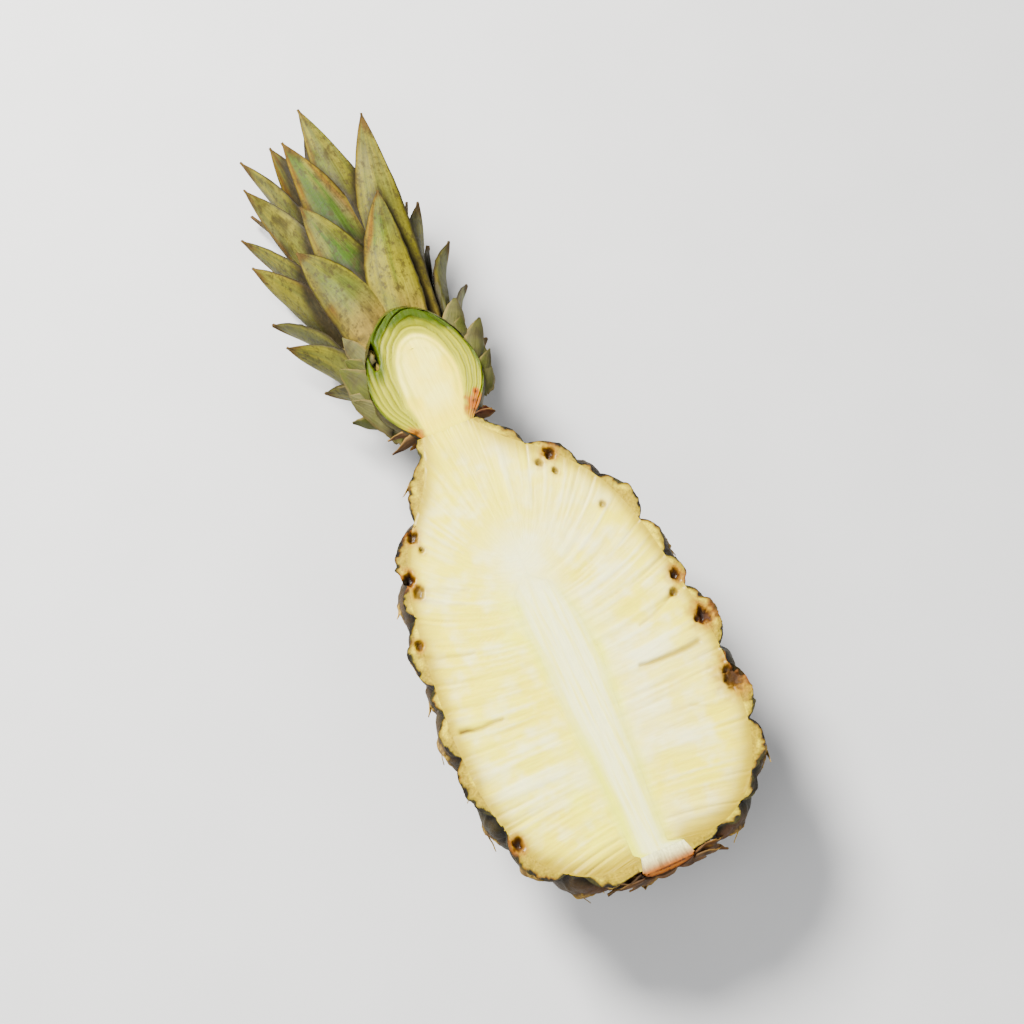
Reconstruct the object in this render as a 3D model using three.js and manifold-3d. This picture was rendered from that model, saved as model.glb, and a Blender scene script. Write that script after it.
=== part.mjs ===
// Half of a pineapple fruit, cut lengthwise, with its crown of leaves, lying on its rind.
// Millimetres, +Z up. +Y runs from the base of the fruit to the crown.
// The cut face is level and looks up. The origin is at the middle of the underside of the bounding box.
import * as THREE from "three";
import { mergeVertices } from "three/addons/utils/BufferGeometryUtils.js";
import Module from "manifold-3d";

const wasm = await Module();
wasm.setup();

// Driving sizes of the fruit. Each point is [distance from the base, radius of the rind's outside].
const FRUIT_PROFILE = [
  [-3.2, 11],
  [-3, 19],
  [-0.6, 29],
  [6, 39.5],
  [15, 46.5],
  [28, 52],
  [45, 55],
  [64, 56],
  [84, 55],
  [104, 52.8],
  [122, 50],
  [138, 45.5],
  [150, 39.5],
  [161, 31],
  [171, 22.6],
  [179, 16.4],
  [184.6, 13.2],
];
const FRUIT_LENGTH = 185;
const AXIS_OFFSET = 5.5; // how far the fruit's own middle lies to the side of the neck
const OFFSET_FADE = 24; // the offset fades to nothing over this length before the neck
const RIND_THICKNESS = 3.2;
const GAP = 0.3; // between solids that touch on curved faces

// The eyes of the rind follow the golden angle, with an even area each.
const GOLDEN_ANGLE = Math.PI * (3 - Math.sqrt(5));
const EYE_AREA = 560;
const EYE_TURN_START = 0.9;
const EYE_REACH = 34; // an eye further away than this never shapes a point
const GROOVE_DEPTH = 2.1;
const GROOVE_WIDTH = 2.6;
const DOME_RISE = 1.7;
const DOME_RADIUS = 13;
const EYE_TIP_RISE = 1.1;
const EYE_TIP_RADIUS = 3.2;
const RELIEF_FADE = 16; // the relief fades in over this length from each end of the rind

// The core, as [distance from the base, sideways offset, radius].
const CORE_PATH = [
  [1.6, 1.5, 6.8],
  [20, 2.5, 7.2],
  [45, 3.8, 8.6],
  [62, 4.6, 9.8],
  [80, 5.4, 10.9],
  [98, 4.6, 10.2],
  [110, 3.4, 7.6],
  [117, 2.8, 3.4],
];

// The scar where the stalk was, and the ring of dry bracts round it. Back and front run along +Y.
const SCAR = { radius: 10.3, back: -5.2, front: 1.2, dish: 1.1, chamfer: 1, waist: 8.5 };
const BASE_COLLAR = { inner: 10.9, outer: 14.5, back: -6.2, front: -4.8 };
const BASE_BRACTS = { count: 8, length: 19, width: 18, thickness: 1.3 };
const BASE_BRACT_LIFT = 0.1; // radians that a bract stands away from the rind

// The crown leans back from the cut plane and a little to the side.
const CROWN_START = 185.3;
const CROWN_LEAN = THREE.MathUtils.degToRad(14);
const CROWN_YAW = THREE.MathUtils.degToRad(1.5);
const CROWN_SUNK = 6; // how far the crown's solids run below the neck before they are cut there
// The crown's stem and the packed leaf bases round it, as [height, radius] along the crown's axis.
const STEM_PROFILE = [
  [-CROWN_SUNK, 8.6],
  [0, 9.2],
  [7, 11.4],
  [16, 13],
  [26, 12.6],
  [34, 10.4],
  [41, 6.4],
  [45, 2.6],
];
const BASES_PROFILE = [
  [-CROWN_SUNK, 10.2],
  [0, 11],
  [7, 17],
  [14, 21.4],
  [22, 23.4],
  [31, 22.8],
  [40, 20.6],
  [50, 16.6],
  [58, 11.6],
  [64, 6],
];
const ROUNDED_END = 0.5; // height of the last cone on a turned body
const NECK_COLLAR = { low: 0.8, high: 4.6, thickness: 1.5 };
const NECK_BRACTS = { count: 9, length: 15, width: 11, thickness: 1.1 };
const NECK_BRACT_ANGLE = { middle: 88, swing: 16 }; // degrees from the crown's axis

// Leaves, from the lowest and outermost to the innermost. Pairs run from the first leaf to the last.
// A leaf leaves the stem at the first angle to the crown's axis, runs up among the others at the second,
// and opens outwards to the third at its tip.
const LEAF_COUNT = 48;
const LEAF_TURN_START = 1.88;
const LEAF_ROOT = [3, 41];
const LEAF_LENGTH = [39, 135];
const LEAF_SHORTER = 0.22; // share of its length that a leaf on the +X side lacks
const LEAF_WIDTH = { first: 23, widest: 26.3, last: 24.4 };
const LEAF_START_ANGLE = [68, 28.4];
const LEAF_PACKED_ANGLE = [14, -2];
const LEAF_TIP_ANGLE = [59, 16.7];
const LEAF_PACKED_AT = 0.3; // share of the leaf's length
const LEAF_THICKNESS = [2, 1.2]; // at the root and at the tip
const LEAF_CHANNEL = [22, 17]; // radius of the channel at the root and at the tip
const LEAF_ROOT_WIDTH = 0.86; // share of the full width
const LEAF_WIDEST_AT = 0.25; // share of the leaf's length
const LEAF_TAPER = 3.2;
const LEAF_POINT_WIDTH = 0.04; // share of the full width
const LEAF_STEPS = 6;
const EDGE_THINNING = 0.75; // share of a blade's thickness that is lost at its edges
const LEAF_CLOSING = 0.2; // leaves at the sides swing towards the cut side by this angle, in radians
const LEAF_CUT_OFF = -1.5; // a leaf rooted higher than this, from the cut plane, went with the other half
const LEAST_LEAF_VOLUME = 150;
const GROUND_MARGIN = 5; // how far a leaf's midrib stays above the ground
const LEAF_DEPTH = 13; // how far a leaf's midrib stays under the cut plane

// Leaves over the front of the crown lie level under the cut plane, here from the outermost inwards.
// Each has the sideways place of its foot, its tip, its depth under the plane and its width.
const FRONT_LEAVES = [
  { foot: 3, tip: [16.4, 296.6], depth: 1.5, width: 23 },
  { foot: -7, tip: [-25.1, 282.6], depth: 1.5, width: 26 },
  { foot: -3, tip: [-15.5, 303.6], depth: 4.2, width: 27 },
  { foot: 0, tip: [-10.8, 337.4], depth: 7, width: 27 },
  { foot: 8, tip: [25.3, 337.5], depth: 7, width: 24 },
  { foot: 3, tip: [1.8, 351.8], depth: 9.8, width: 27 },
];
const FRONT_FOOT = { along: 226, drop: 2 }; // place of their feet, and how far these lie below the tips
const FRONT_BOW = 3; // how far a front leaf bows out sideways
const FRONT_ARCH = 1.6; // and upwards
const FRONT_TAPER = 2.4;
const FRONT_CLEAR = 30; // no other leaf stands within this height over a front leaf

// How finely each body is cut up: steps along it and parts round it.
const MESH = {
  rind: { steps: 44, around: 36 },
  inside: { steps: 22, around: 18 },
  core: { steps: 14, around: 12 },
  stem: { steps: 10, around: 20 },
  bases: { steps: 12, around: 24 },
  ring: 20,
  bractSteps: 3,
};
const CUTTER_RISE = 3; // how far a cutter stands over the cut plane
const SLIVER = 0.09; // cuts leave slivers up to this size, which are merged away
const BRACT_SLIVER = 0.03; // less on the bracts, whose points are thin

const FINISH = {
  rind: [0x3d3618, 0.7],
  flesh: [0xe8ddb4, 0.35],
  core: [0xeee7d4, 0.4],
  stalk_scar: [0xcf9a5a, 0.85],
  base_bracts: [0xb98653, 0.85],
  neck_bracts: [0x8a5430, 0.85],
  crown_stem: [0xede4c7, 0.4],
  leaf_bases: [0xdcd95a, 0.4],
  leaf: [0x8f9c50, 0.55],
};

const mix = (a, b, t) => a + (b - a) * t;
const clamp01 = (t) => Math.min(1, Math.max(0, t));
const smooth = (t) => clamp01(t) ** 2 * (3 - 2 * clamp01(t));
const radians = THREE.MathUtils.degToRad;

// A smooth curve through points of any size, read by the first value of each point.
function curveThrough(points) {
  const slope = (i, k) => {
    const a = points[Math.max(0, i - 1)];
    const b = points[Math.min(points.length - 1, i + 1)];
    return (b[k] - a[k]) / (b[0] - a[0]);
  };
  return (u) => {
    const last = points.length - 2;
    const found = points.findIndex((p) => p[0] > u) - 1;
    const i = found < -1 ? last : Math.max(0, Math.min(last, found));
    const span = points[i + 1][0] - points[i][0];
    const t = clamp01((u - points[i][0]) / span);
    return points[i].slice(1).map((_, j) => {
      const k = j + 1;
      const value = (1 + 2 * t) * (1 - t) ** 2 * points[i][k] + t * t * (3 - 2 * t) * points[i + 1][k];
      return value + span * (t * (1 - t) ** 2 * slope(i, k) - t * t * (1 - t) * slope(i + 1, k));
    });
  };
}

// The fruit's outside as a curve, read by its own length from the scar to the neck.
const fruitCurve = new THREE.CatmullRomCurve3(
  FRUIT_PROFILE.map(([u, r]) => new THREE.Vector3(u, r, 0)),
  false,
  "centripetal",
);
fruitCurve.arcLengthDivisions = 400;
const FRUIT_ARC = fruitCurve.getLength();

function profileAt(t) {
  const p = fruitCurve.getPointAt(clamp01(t));
  const d = fruitCurve.getTangentAt(clamp01(t));
  return { u: p.x, r: p.y, nu: -d.y, nr: d.x };
}

function axisOffset(u) {
  return AXIS_OFFSET * smooth((FRUIT_LENGTH - u) / OFFSET_FADE);
}

// Places of the eyes: each turn is one golden angle, and each step up the curve adds one eye's area.
function eyePlaces() {
  const steps = 2000;
  const places = [];
  let area = 0;
  for (let i = 0; i < steps; i++) {
    const t = (i + 0.5) / steps;
    area += (2 * Math.PI * profileAt(t).r * FRUIT_ARC) / steps;
    if (area >= (places.length + 0.5) * EYE_AREA) {
      places.push({ s: t * FRUIT_ARC, turn: EYE_TURN_START + places.length * GOLDEN_ANGLE });
    }
  }
  return places;
}
const EYES = eyePlaces();

// Height of the rind's relief at a place: a groove between eyes, a dome and a small dry tip on each.
function relief(t, angle, radius) {
  const s = t * FRUIT_ARC;
  let nearest = Infinity;
  let second = Infinity;
  for (const eye of EYES) {
    const along = s - eye.s;
    if (Math.abs(along) > EYE_REACH) continue;
    const turn = Math.atan2(Math.sin(angle - eye.turn), Math.cos(angle - eye.turn));
    const distance = Math.hypot(along, radius * turn);
    if (distance < nearest) {
      second = nearest;
      nearest = distance;
    } else if (distance < second) {
      second = distance;
    }
  }
  const edge = (second - nearest) / 2;
  const groove = -GROOVE_DEPTH * Math.exp(-((edge / GROOVE_WIDTH) ** 2));
  const dome = DOME_RISE * (1 - (nearest / DOME_RADIUS) ** 2);
  const tip = EYE_TIP_RISE * Math.exp(-((nearest / EYE_TIP_RADIUS) ** 2));
  const fade = smooth(s / RELIEF_FADE) * smooth((FRUIT_ARC - s) / RELIEF_FADE);
  return fade * (groove + dome + tip);
}

// A solid lofted through rings of equal size. Rings run anticlockwise seen from the first towards the last.
function loft(rings) {
  const n = rings[0].length;
  const positions = rings.flat().flatMap((p) => [p.x, p.y, p.z]);
  const index = [];
  for (let i = 0; i < rings.length - 1; i++) {
    for (let j = 0; j < n; j++) {
      const a = i * n + j;
      const b = i * n + ((j + 1) % n);
      index.push(a, a + n, b, b, a + n, b + n);
    }
  }
  const cap = (ring, flip) => {
    const centre = positions.length / 3;
    const middle = rings[ring].reduce((sum, p) => sum.add(p), new THREE.Vector3()).divideScalar(n);
    positions.push(middle.x, middle.y, middle.z);
    for (let j = 0; j < n; j++) {
      const a = ring * n + j;
      const b = ring * n + ((j + 1) % n);
      index.push(centre, flip ? b : a, flip ? a : b);
    }
  };
  cap(0, false);
  cap(rings.length - 1, true);
  const geometry = new THREE.BufferGeometry();
  geometry.setAttribute("position", new THREE.Float32BufferAttribute(positions, 3));
  geometry.setIndex(index);
  return geometry;
}

// A closed geometry as a solid that can be cut and joined. One that faces inwards is turned round.
function solid(geometry) {
  const plain = geometry.clone();
  for (const name of ["normal", "uv"]) plain.deleteAttribute(name);
  const merged = mergeVertices(plain, 1e-4);
  const vertProperties = merged.attributes.position.array;
  const triVerts = new Uint32Array(merged.index.array);
  const made = new wasm.Manifold(new wasm.Mesh({ numProp: 3, vertProperties, triVerts }));
  if (made.volume() > 0) return made;
  for (let i = 0; i < triVerts.length; i += 3) {
    [triVerts[i], triVerts[i + 1]] = [triVerts[i + 1], triVerts[i]];
  }
  return new wasm.Manifold(new wasm.Mesh({ numProp: 3, vertProperties, triVerts }));
}

// An open half ring under the cut plane. A cutter's ring is closed over the plane, to cut clean through.
function halfRing(around, pointAt, rise) {
  const ring = Array.from({ length: around + 1 }, (_, j) => pointAt((Math.PI * j) / around));
  if (rise > 0) {
    for (const end of [ring[around], ring[0]]) ring.push(new THREE.Vector3(end.x, end.y, rise));
  }
  return ring;
}

// Half of the fruit's body, offset inwards from the rind's outside.
function halfBody({ inset, withRelief, rise }, { steps, around }) {
  const rings = [];
  for (let i = 0; i <= steps; i++) {
    const t = i / steps;
    const p = profileAt(t);
    const pointAt = (angle) => {
      const out = (withRelief ? relief(t, angle, p.r) : 0) - inset;
      const r = p.r + p.nr * out;
      const x = axisOffset(p.u) + r * Math.cos(angle);
      return new THREE.Vector3(x, p.u + p.nu * out, -r * Math.sin(angle));
    };
    rings.push(halfRing(around, pointAt, rise));
  }
  return solid(loft(rings));
}

function coreBody(grow, rise) {
  const { steps, around } = MESH.core;
  const ringAt = curveThrough(CORE_PATH);
  const rings = [];
  for (let i = 0; i <= steps; i++) {
    const u = mix(CORE_PATH[0][0] - grow, CORE_PATH.at(-1)[0] + grow, i / steps);
    const [offset, radius] = ringAt(u);
    const r = radius + grow;
    const pointAt = (angle) => new THREE.Vector3(offset + r * Math.cos(angle), u, -r * Math.sin(angle));
    rings.push(halfRing(around, pointAt, rise));
  }
  return solid(loft(rings));
}

function scarBody(grow) {
  const points = [
    new THREE.Vector2(0, SCAR.front + grow),
    new THREE.Vector2(SCAR.waist + grow, SCAR.front + grow),
    new THREE.Vector2(SCAR.radius + grow, SCAR.back + SCAR.chamfer),
    new THREE.Vector2(SCAR.radius - SCAR.chamfer + grow, SCAR.back - grow),
    new THREE.Vector2(0, SCAR.back + SCAR.dish - grow),
  ];
  return solid(new THREE.LatheGeometry(points, MESH.ring).translate(AXIS_OFFSET, 0, 0));
}

// A body of revolution from [height, radius] points, with its steps closer together towards the top.
function turnedBody(profile, grow, { steps, around }) {
  const radiusAt = curveThrough(profile);
  const low = profile[0][0];
  const high = profile.at(-1)[0];
  const points = [new THREE.Vector2(0, low)];
  for (let i = 0; i <= steps; i++) {
    const height = mix(low, high, Math.sin((i / steps) * Math.PI * 0.5));
    points.push(new THREE.Vector2(radiusAt(height)[0] + grow, height));
  }
  points.push(new THREE.Vector2(0, high + ROUNDED_END + grow));
  return solid(new THREE.LatheGeometry(points, around).applyMatrix4(crownMatrix));
}

// The crown's own frame: height along its axis, an angle round it with a quarter turn at the front.
const crownAxis = new THREE.Vector3(
  Math.sin(CROWN_YAW) * Math.cos(CROWN_LEAN),
  Math.cos(CROWN_YAW) * Math.cos(CROWN_LEAN),
  -Math.sin(CROWN_LEAN),
);
const crownSide = new THREE.Vector3(Math.cos(CROWN_YAW), -Math.sin(CROWN_YAW), 0);
const crownFront = new THREE.Vector3().crossVectors(crownSide, crownAxis);
const crownOrigin = new THREE.Vector3(0, FRUIT_LENGTH, 0);
const crownMatrix = new THREE.Matrix4().makeBasis(crownSide, crownAxis, crownFront).setPosition(crownOrigin);

function radial(angle) {
  return crownSide.clone().multiplyScalar(Math.cos(angle)).addScaledVector(crownFront, Math.sin(angle));
}

function crownPoint(height, radius, angle) {
  return crownOrigin.clone().addScaledVector(crownAxis, height).addScaledVector(radial(angle), radius);
}

// Everything is cut flush with the knife's plane, and the crown also where the neck ends.
const underCut = (body) => body.trimByPlane([0, 0, -1], 0);
const aboveNeck = (body) => body.trimByPlane([0, 1, 0], CROWN_START);

// The main piece of a cut body, without loose scraps and slivers.
function largestPiece(body, sliver = SLIVER) {
  const larger = (most, piece) => (piece.volume() > most.volume() ? piece : most);
  const main = body.decompose().reduce(larger);
  return main.simplify(sliver).decompose().reduce(larger);
}

// A blade along a path: each station has its point, direction, side, width, thickness and channel radius.
function blade(stations, grow) {
  const rings = stations.map((station) => {
    const outward = new THREE.Vector3().crossVectors(station.side, station.along).normalize();
    const half = station.width / 2 + grow;
    const bend = half / station.channel;
    const at = (q, lift) => {
      const sideways = station.channel * Math.sin(bend * q);
      const inward = station.channel * (1 - Math.cos(bend * q));
      const point = station.point.clone().addScaledVector(station.side, sideways);
      return point.addScaledVector(outward, lift - inward);
    };
    const outer = [-1, -0.45, 0.45, 1].map((q) => at(q, grow));
    const inner = [1, 0, -1].map((q) => at(q, -station.thickness * (1 - EDGE_THINNING * q * q) - grow));
    return [...outer, ...inner];
  });
  return solid(loft(rings));
}

// A leaf's angle to the crown's axis at a share of its length.
function openingAt(leaf, t) {
  if (t < LEAF_PACKED_AT) return mix(leaf.start, leaf.packed, smooth(t / LEAF_PACKED_AT));
  return mix(leaf.packed, leaf.tip, ((t - LEAF_PACKED_AT) / (1 - LEAF_PACKED_AT)) ** 0.9);
}

function leafWidthShare(t, taper) {
  if (t < LEAF_WIDEST_AT) return mix(LEAF_ROOT_WIDTH, 1, t / LEAF_WIDEST_AT);
  return Math.max(LEAF_POINT_WIDTH, 1 - ((t - LEAF_WIDEST_AT) / (1 - LEAF_WIDEST_AT)) ** taper);
}

// Stations of a leaf along its midrib, with the direction that its back faces at each share of its length.
function stationsAlong(points, facing, width, taper) {
  return points.map((point, i) => {
    const t = i / LEAF_STEPS;
    const before = points[Math.max(0, i - 1)];
    const after = points[Math.min(LEAF_STEPS, i + 1)];
    const along = after.clone().sub(before).normalize();
    return {
      point,
      along,
      side: new THREE.Vector3().crossVectors(along, facing(t)).normalize(),
      width: width * leafWidthShare(t, taper),
      thickness: mix(...LEAF_THICKNESS, t),
      channel: mix(...LEAF_CHANNEL, t),
    };
  });
}

function frontStations({ foot, tip, depth, width }) {
  const start = new THREE.Vector3(foot, FRONT_FOOT.along, -depth - FRONT_FOOT.drop);
  const reach = new THREE.Vector3(...tip, -depth).sub(start);
  const side = new THREE.Vector3(reach.y, -reach.x, 0).normalize().multiplyScalar(Math.sign(foot - tip[0]));
  const points = [];
  for (let i = 0; i <= LEAF_STEPS; i++) {
    const t = i / LEAF_STEPS;
    const point = start.clone().addScaledVector(reach, t);
    point.addScaledVector(side, FRONT_BOW * Math.sin(Math.PI * t));
    point.z += FRONT_ARCH * Math.sin(Math.PI * t);
    points.push(point);
  }
  return stationsAlong(points, () => new THREE.Vector3(0, 0, 1), width, FRONT_TAPER);
}

// A leaf's path under the front leaves. Where it meets the ground it lies along it.
function leafStations(leaf, ground) {
  const step = leaf.length / LEAF_STEPS;
  const angleAt = (t) => leaf.angle + LEAF_CLOSING * Math.cos(leaf.angle) * t + leaf.twist * t * t;
  const points = [crownPoint(leaf.root, leaf.radius, leaf.angle)];
  for (let i = 0; i < LEAF_STEPS; i++) {
    const t = (i + 0.5) / LEAF_STEPS;
    const opening = radians(openingAt(leaf, t));
    const next = points[i].clone().addScaledVector(crownAxis, step * Math.cos(opening));
    next.addScaledVector(radial(angleAt(t)), step * Math.sin(opening));
    next.z = Math.max(next.z, Math.min(points[i].z, ground + GROUND_MARGIN));
    next.z = Math.min(next.z, -LEAF_DEPTH);
    points.push(next);
  }
  return stationsAlong(points, (t) => radial(angleAt(t)), leaf.width, LEAF_TAPER);
}

// A leaf's length by its place in the order. Leaves on the +X side are shorter.
function leafLength(t, angle) {
  return mix(...LEAF_LENGTH, t ** 0.9) * (1 - LEAF_SHORTER * Math.max(0, Math.cos(angle)));
}

// The leaf rule: size, angles and place follow the leaf's number.
function leafPlan() {
  const stemRadius = curveThrough(STEM_PROFILE);
  const { first, widest, last } = LEAF_WIDTH;
  const leaves = [];
  for (let i = 0; i < LEAF_COUNT; i++) {
    const t = i / (LEAF_COUNT - 1);
    const root = mix(...LEAF_ROOT, t);
    const angle = LEAF_TURN_START + i * GOLDEN_ANGLE;
    const leaf = {
      root,
      angle,
      radius: stemRadius(root)[0],
      length: leafLength(t, angle) * (1 + 0.05 * Math.sin(i * 2.4)),
      width: mix(mix(first, last, t), widest, Math.sin(Math.PI * t)),
      start: mix(...LEAF_START_ANGLE, t),
      packed: mix(...LEAF_PACKED_ANGLE, t ** 0.7),
      tip: mix(...LEAF_TIP_ANGLE, t ** 0.8),
      twist: 0.1 * Math.sin(i * 1.7),
    };
    if (crownPoint(root, leaf.radius, leaf.angle).z < LEAF_CUT_OFF) leaves.push(leaf);
  }
  return leaves;
}

// A dry bract: a short straight blade that starts in a collar and points outwards.
function bract(start, along, outward, size) {
  const side = new THREE.Vector3().crossVectors(along, outward).normalize();
  const stations = [];
  for (let i = 0; i <= MESH.bractSteps; i++) {
    const t = i / MESH.bractSteps;
    stations.push({
      point: start.clone().addScaledVector(along, size.length * t),
      along,
      side,
      width: size.width * Math.max(0.06, 1 - t ** 1.4),
      thickness: size.thickness,
      channel: size.width * 2.5,
    });
  }
  return blade(stations, 0);
}

function makeFruit() {
  const outside = halfBody({ inset: 0, withRelief: true, rise: 0 }, MESH.rind);
  const hollow = halfBody({ inset: RIND_THICKNESS, withRelief: false, rise: CUTTER_RISE }, MESH.inside);
  const inside = halfBody({ inset: RIND_THICKNESS + GAP, withRelief: false, rise: 0 }, MESH.inside);
  const scarHole = scarBody(GAP);
  return {
    rind: largestPiece(outside.subtract(hollow).subtract(scarHole)),
    flesh: largestPiece(inside.subtract(coreBody(GAP, CUTTER_RISE)).subtract(scarHole)),
    core: largestPiece(coreBody(0, 0).subtract(scarHole)),
    stalk_scar: underCut(scarBody(0)),
  };
}

function makeBaseBracts() {
  const { inner, outer, back, front } = BASE_COLLAR;
  const corners = [[inner, back], [outer, back], [outer, front], [inner, front], [inner, back]];
  const collar = new THREE.LatheGeometry(
    corners.map(([r, y]) => new THREE.Vector2(r, y)),
    MESH.ring,
  );
  let body = solid(collar.translate(AXIS_OFFSET, 0, 0));
  for (let i = 0; i < BASE_BRACTS.count; i++) {
    const angle = -(Math.PI * (i + 0.5)) / BASE_BRACTS.count;
    const out = new THREE.Vector3(Math.cos(angle), 0, Math.sin(angle));
    const lift = BASE_BRACT_LIFT * (1 + 0.8 * Math.sin(i * 2.1));
    const along = out.clone().multiplyScalar(Math.cos(lift)).add(new THREE.Vector3(0, -Math.sin(lift), 0));
    const start = new THREE.Vector3(AXIS_OFFSET, mix(back, front, 0.4), 0).addScaledVector(out, inner + 1.2);
    const length = BASE_BRACTS.length * (0.8 + 0.25 * Math.sin(i * 1.3));
    body = body.add(bract(start, along, new THREE.Vector3(0, -1, 0), { ...BASE_BRACTS, length }));
  }
  return largestPiece(underCut(body), BRACT_SLIVER);
}

function makeNeckBracts(keepOut) {
  const { low, high, thickness } = NECK_COLLAR;
  const radiusAt = curveThrough(BASES_PROFILE);
  const corners = [[low, GAP], [low, thickness], [high, thickness], [high, GAP], [low, GAP]];
  const collar = new THREE.LatheGeometry(
    corners.map(([height, extra]) => new THREE.Vector2(radiusAt(height)[0] + extra, height)),
    MESH.ring,
  );
  let body = solid(collar.applyMatrix4(crownMatrix));
  for (let i = 0; i < NECK_BRACTS.count; i++) {
    const angle = -(Math.PI * (i + 0.3)) / NECK_BRACTS.count;
    const opening = radians(NECK_BRACT_ANGLE.middle + NECK_BRACT_ANGLE.swing * Math.sin(i * 2.2));
    const along = crownAxis.clone().multiplyScalar(Math.cos(opening));
    along.addScaledVector(radial(angle), Math.sin(opening));
    const start = crownPoint(mix(low, high, 0.4), radiusAt(low)[0] + 0.6, angle);
    const length = NECK_BRACTS.length * (0.85 + 0.25 * Math.sin(i * 1.9));
    const outward = crownAxis.clone().negate();
    body = body.add(bract(start, along, outward, { ...NECK_BRACTS, length }));
  }
  return largestPiece(underCut(aboveNeck(body.subtract(keepOut))), BRACT_SLIVER);
}

// Leaves from the outermost inwards. Each keeps clear of the packed bases and of those made before it.
function makeLeaves(keepOut, ground) {
  const leaves = [];
  let taken = keepOut;
  const addLeaf = (stations) => {
    const body = underCut(aboveNeck(blade(stations, 0).subtract(taken)));
    if (body.isEmpty()) return;
    const piece = largestPiece(body);
    if (piece.volume() < LEAST_LEAF_VOLUME) return;
    leaves.push(piece);
    taken = taken.add(blade(stations, GAP));
  };
  const front = FRONT_LEAVES.map(frontStations);
  for (const stations of front) addLeaf(stations);
  for (const stations of front) {
    const body = blade(stations, GAP);
    taken = taken.add(wasm.Manifold.hull([body, body.translate([0, 0, FRONT_CLEAR])]));
  }
  for (const leaf of leafPlan()) addLeaf(leafStations(leaf, ground));
  return leaves;
}

function makeCrown(ground) {
  const stem = turnedBody(STEM_PROFILE, 0, MESH.stem);
  const bases = turnedBody(BASES_PROFILE, 0, MESH.bases).subtract(turnedBody(STEM_PROFILE, GAP, MESH.stem));
  const keepOut = turnedBody(BASES_PROFILE, GAP, MESH.bases);
  const neckBracts = makeNeckBracts(keepOut);
  return {
    neck_bracts: neckBracts,
    crown_stem: largestPiece(underCut(aboveNeck(stem))),
    leaf_bases: largestPiece(underCut(aboveNeck(bases))),
    leaves: makeLeaves(keepOut.add(neckBracts), ground),
  };
}

const pineapple = new THREE.Group();

function addPart(name, body, [color, roughness]) {
  const mesh = body.getMesh();
  const geometry = new THREE.BufferGeometry();
  geometry.setAttribute("position", new THREE.Float32BufferAttribute(mesh.vertProperties, 3));
  geometry.setIndex(new THREE.BufferAttribute(mesh.triVerts, 1));
  geometry.computeVertexNormals();
  const part = new THREE.Mesh(geometry, new THREE.MeshStandardMaterial({ color, roughness, metalness: 0 }));
  part.name = name;
  pineapple.add(part);
}

const fruit = makeFruit();
const { leaves, ...crown } = makeCrown(fruit.rind.boundingBox().min[2]);
const named = { ...fruit, base_bracts: makeBaseBracts(), ...crown };
for (const [name, body] of Object.entries(named)) addPart(name, body, FINISH[name]);
leaves.forEach((leaf, i) => addPart(`leaf_${String(i + 1).padStart(2, "0")}`, leaf, FINISH.leaf));

// The frame's origin goes to the middle of the underside.
const box = new THREE.Box3().setFromObject(pineapple);
const middle = box.getCenter(new THREE.Vector3());
pineapple.position.set(-middle.x, -middle.y, -box.min.z);

export default pineapple;
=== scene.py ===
# Looks of half a pineapple, cut lengthwise, with its crown of leaves, lying on its rind.
# Sizes are millimetres in the fruit's own frame: +Y runs from the base to the crown, and the cut face
# is the plane Z = 0 with the fruit under it. make_piece turns them into metres in the shared frame.
from math import asin, cos, pi, radians, sin, sqrt, tan

import bmesh
import bpy
import numpy as np
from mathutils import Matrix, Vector, kdtree


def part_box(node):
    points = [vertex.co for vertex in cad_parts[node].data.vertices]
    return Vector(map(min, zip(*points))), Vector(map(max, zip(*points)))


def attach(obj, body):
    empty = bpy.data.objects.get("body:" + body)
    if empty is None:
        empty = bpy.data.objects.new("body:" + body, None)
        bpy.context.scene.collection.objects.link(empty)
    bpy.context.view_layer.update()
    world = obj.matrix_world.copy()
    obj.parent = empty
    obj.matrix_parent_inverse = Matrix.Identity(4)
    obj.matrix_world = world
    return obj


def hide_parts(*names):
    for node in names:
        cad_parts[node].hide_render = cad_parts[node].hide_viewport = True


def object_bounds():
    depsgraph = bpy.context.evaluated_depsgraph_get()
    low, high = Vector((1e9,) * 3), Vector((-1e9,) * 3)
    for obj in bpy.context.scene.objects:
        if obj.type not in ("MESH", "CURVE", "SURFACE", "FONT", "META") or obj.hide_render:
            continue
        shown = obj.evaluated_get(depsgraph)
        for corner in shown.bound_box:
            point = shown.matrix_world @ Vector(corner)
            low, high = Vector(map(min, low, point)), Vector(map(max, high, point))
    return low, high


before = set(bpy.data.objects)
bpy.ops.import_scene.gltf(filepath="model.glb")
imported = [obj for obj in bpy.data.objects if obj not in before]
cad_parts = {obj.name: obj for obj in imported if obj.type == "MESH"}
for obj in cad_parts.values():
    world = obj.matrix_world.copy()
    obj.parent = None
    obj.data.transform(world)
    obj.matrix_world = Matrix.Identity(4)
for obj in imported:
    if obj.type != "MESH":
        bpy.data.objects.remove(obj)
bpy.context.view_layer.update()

MM = 0.001
BODY = "root"
UP = np.array([0.0, 0.0, 1.0])
TO_BASE = np.array([0.0, -1.0, 0.0])
SEAM = 0.05  # a small step that closes or hides the seam between two pieces

# Driving sizes of the fruit, the same as the part's. Each point is [distance from the base, radius].
FRUIT_PROFILE = [
    [-3.2, 11], [-3, 19], [-0.6, 29], [6, 39.5], [15, 46.5], [28, 52], [45, 55], [64, 56], [84, 55],
    [104, 52.8], [122, 50], [138, 45.5], [150, 39.5], [161, 31], [171, 22.6], [179, 16.4], [184.6, 13.2],
]
FRUIT_LENGTH = 185
AXIS_OFFSET = 5.5
OFFSET_FADE = 24
RIND_THICKNESS = 3.2

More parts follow.
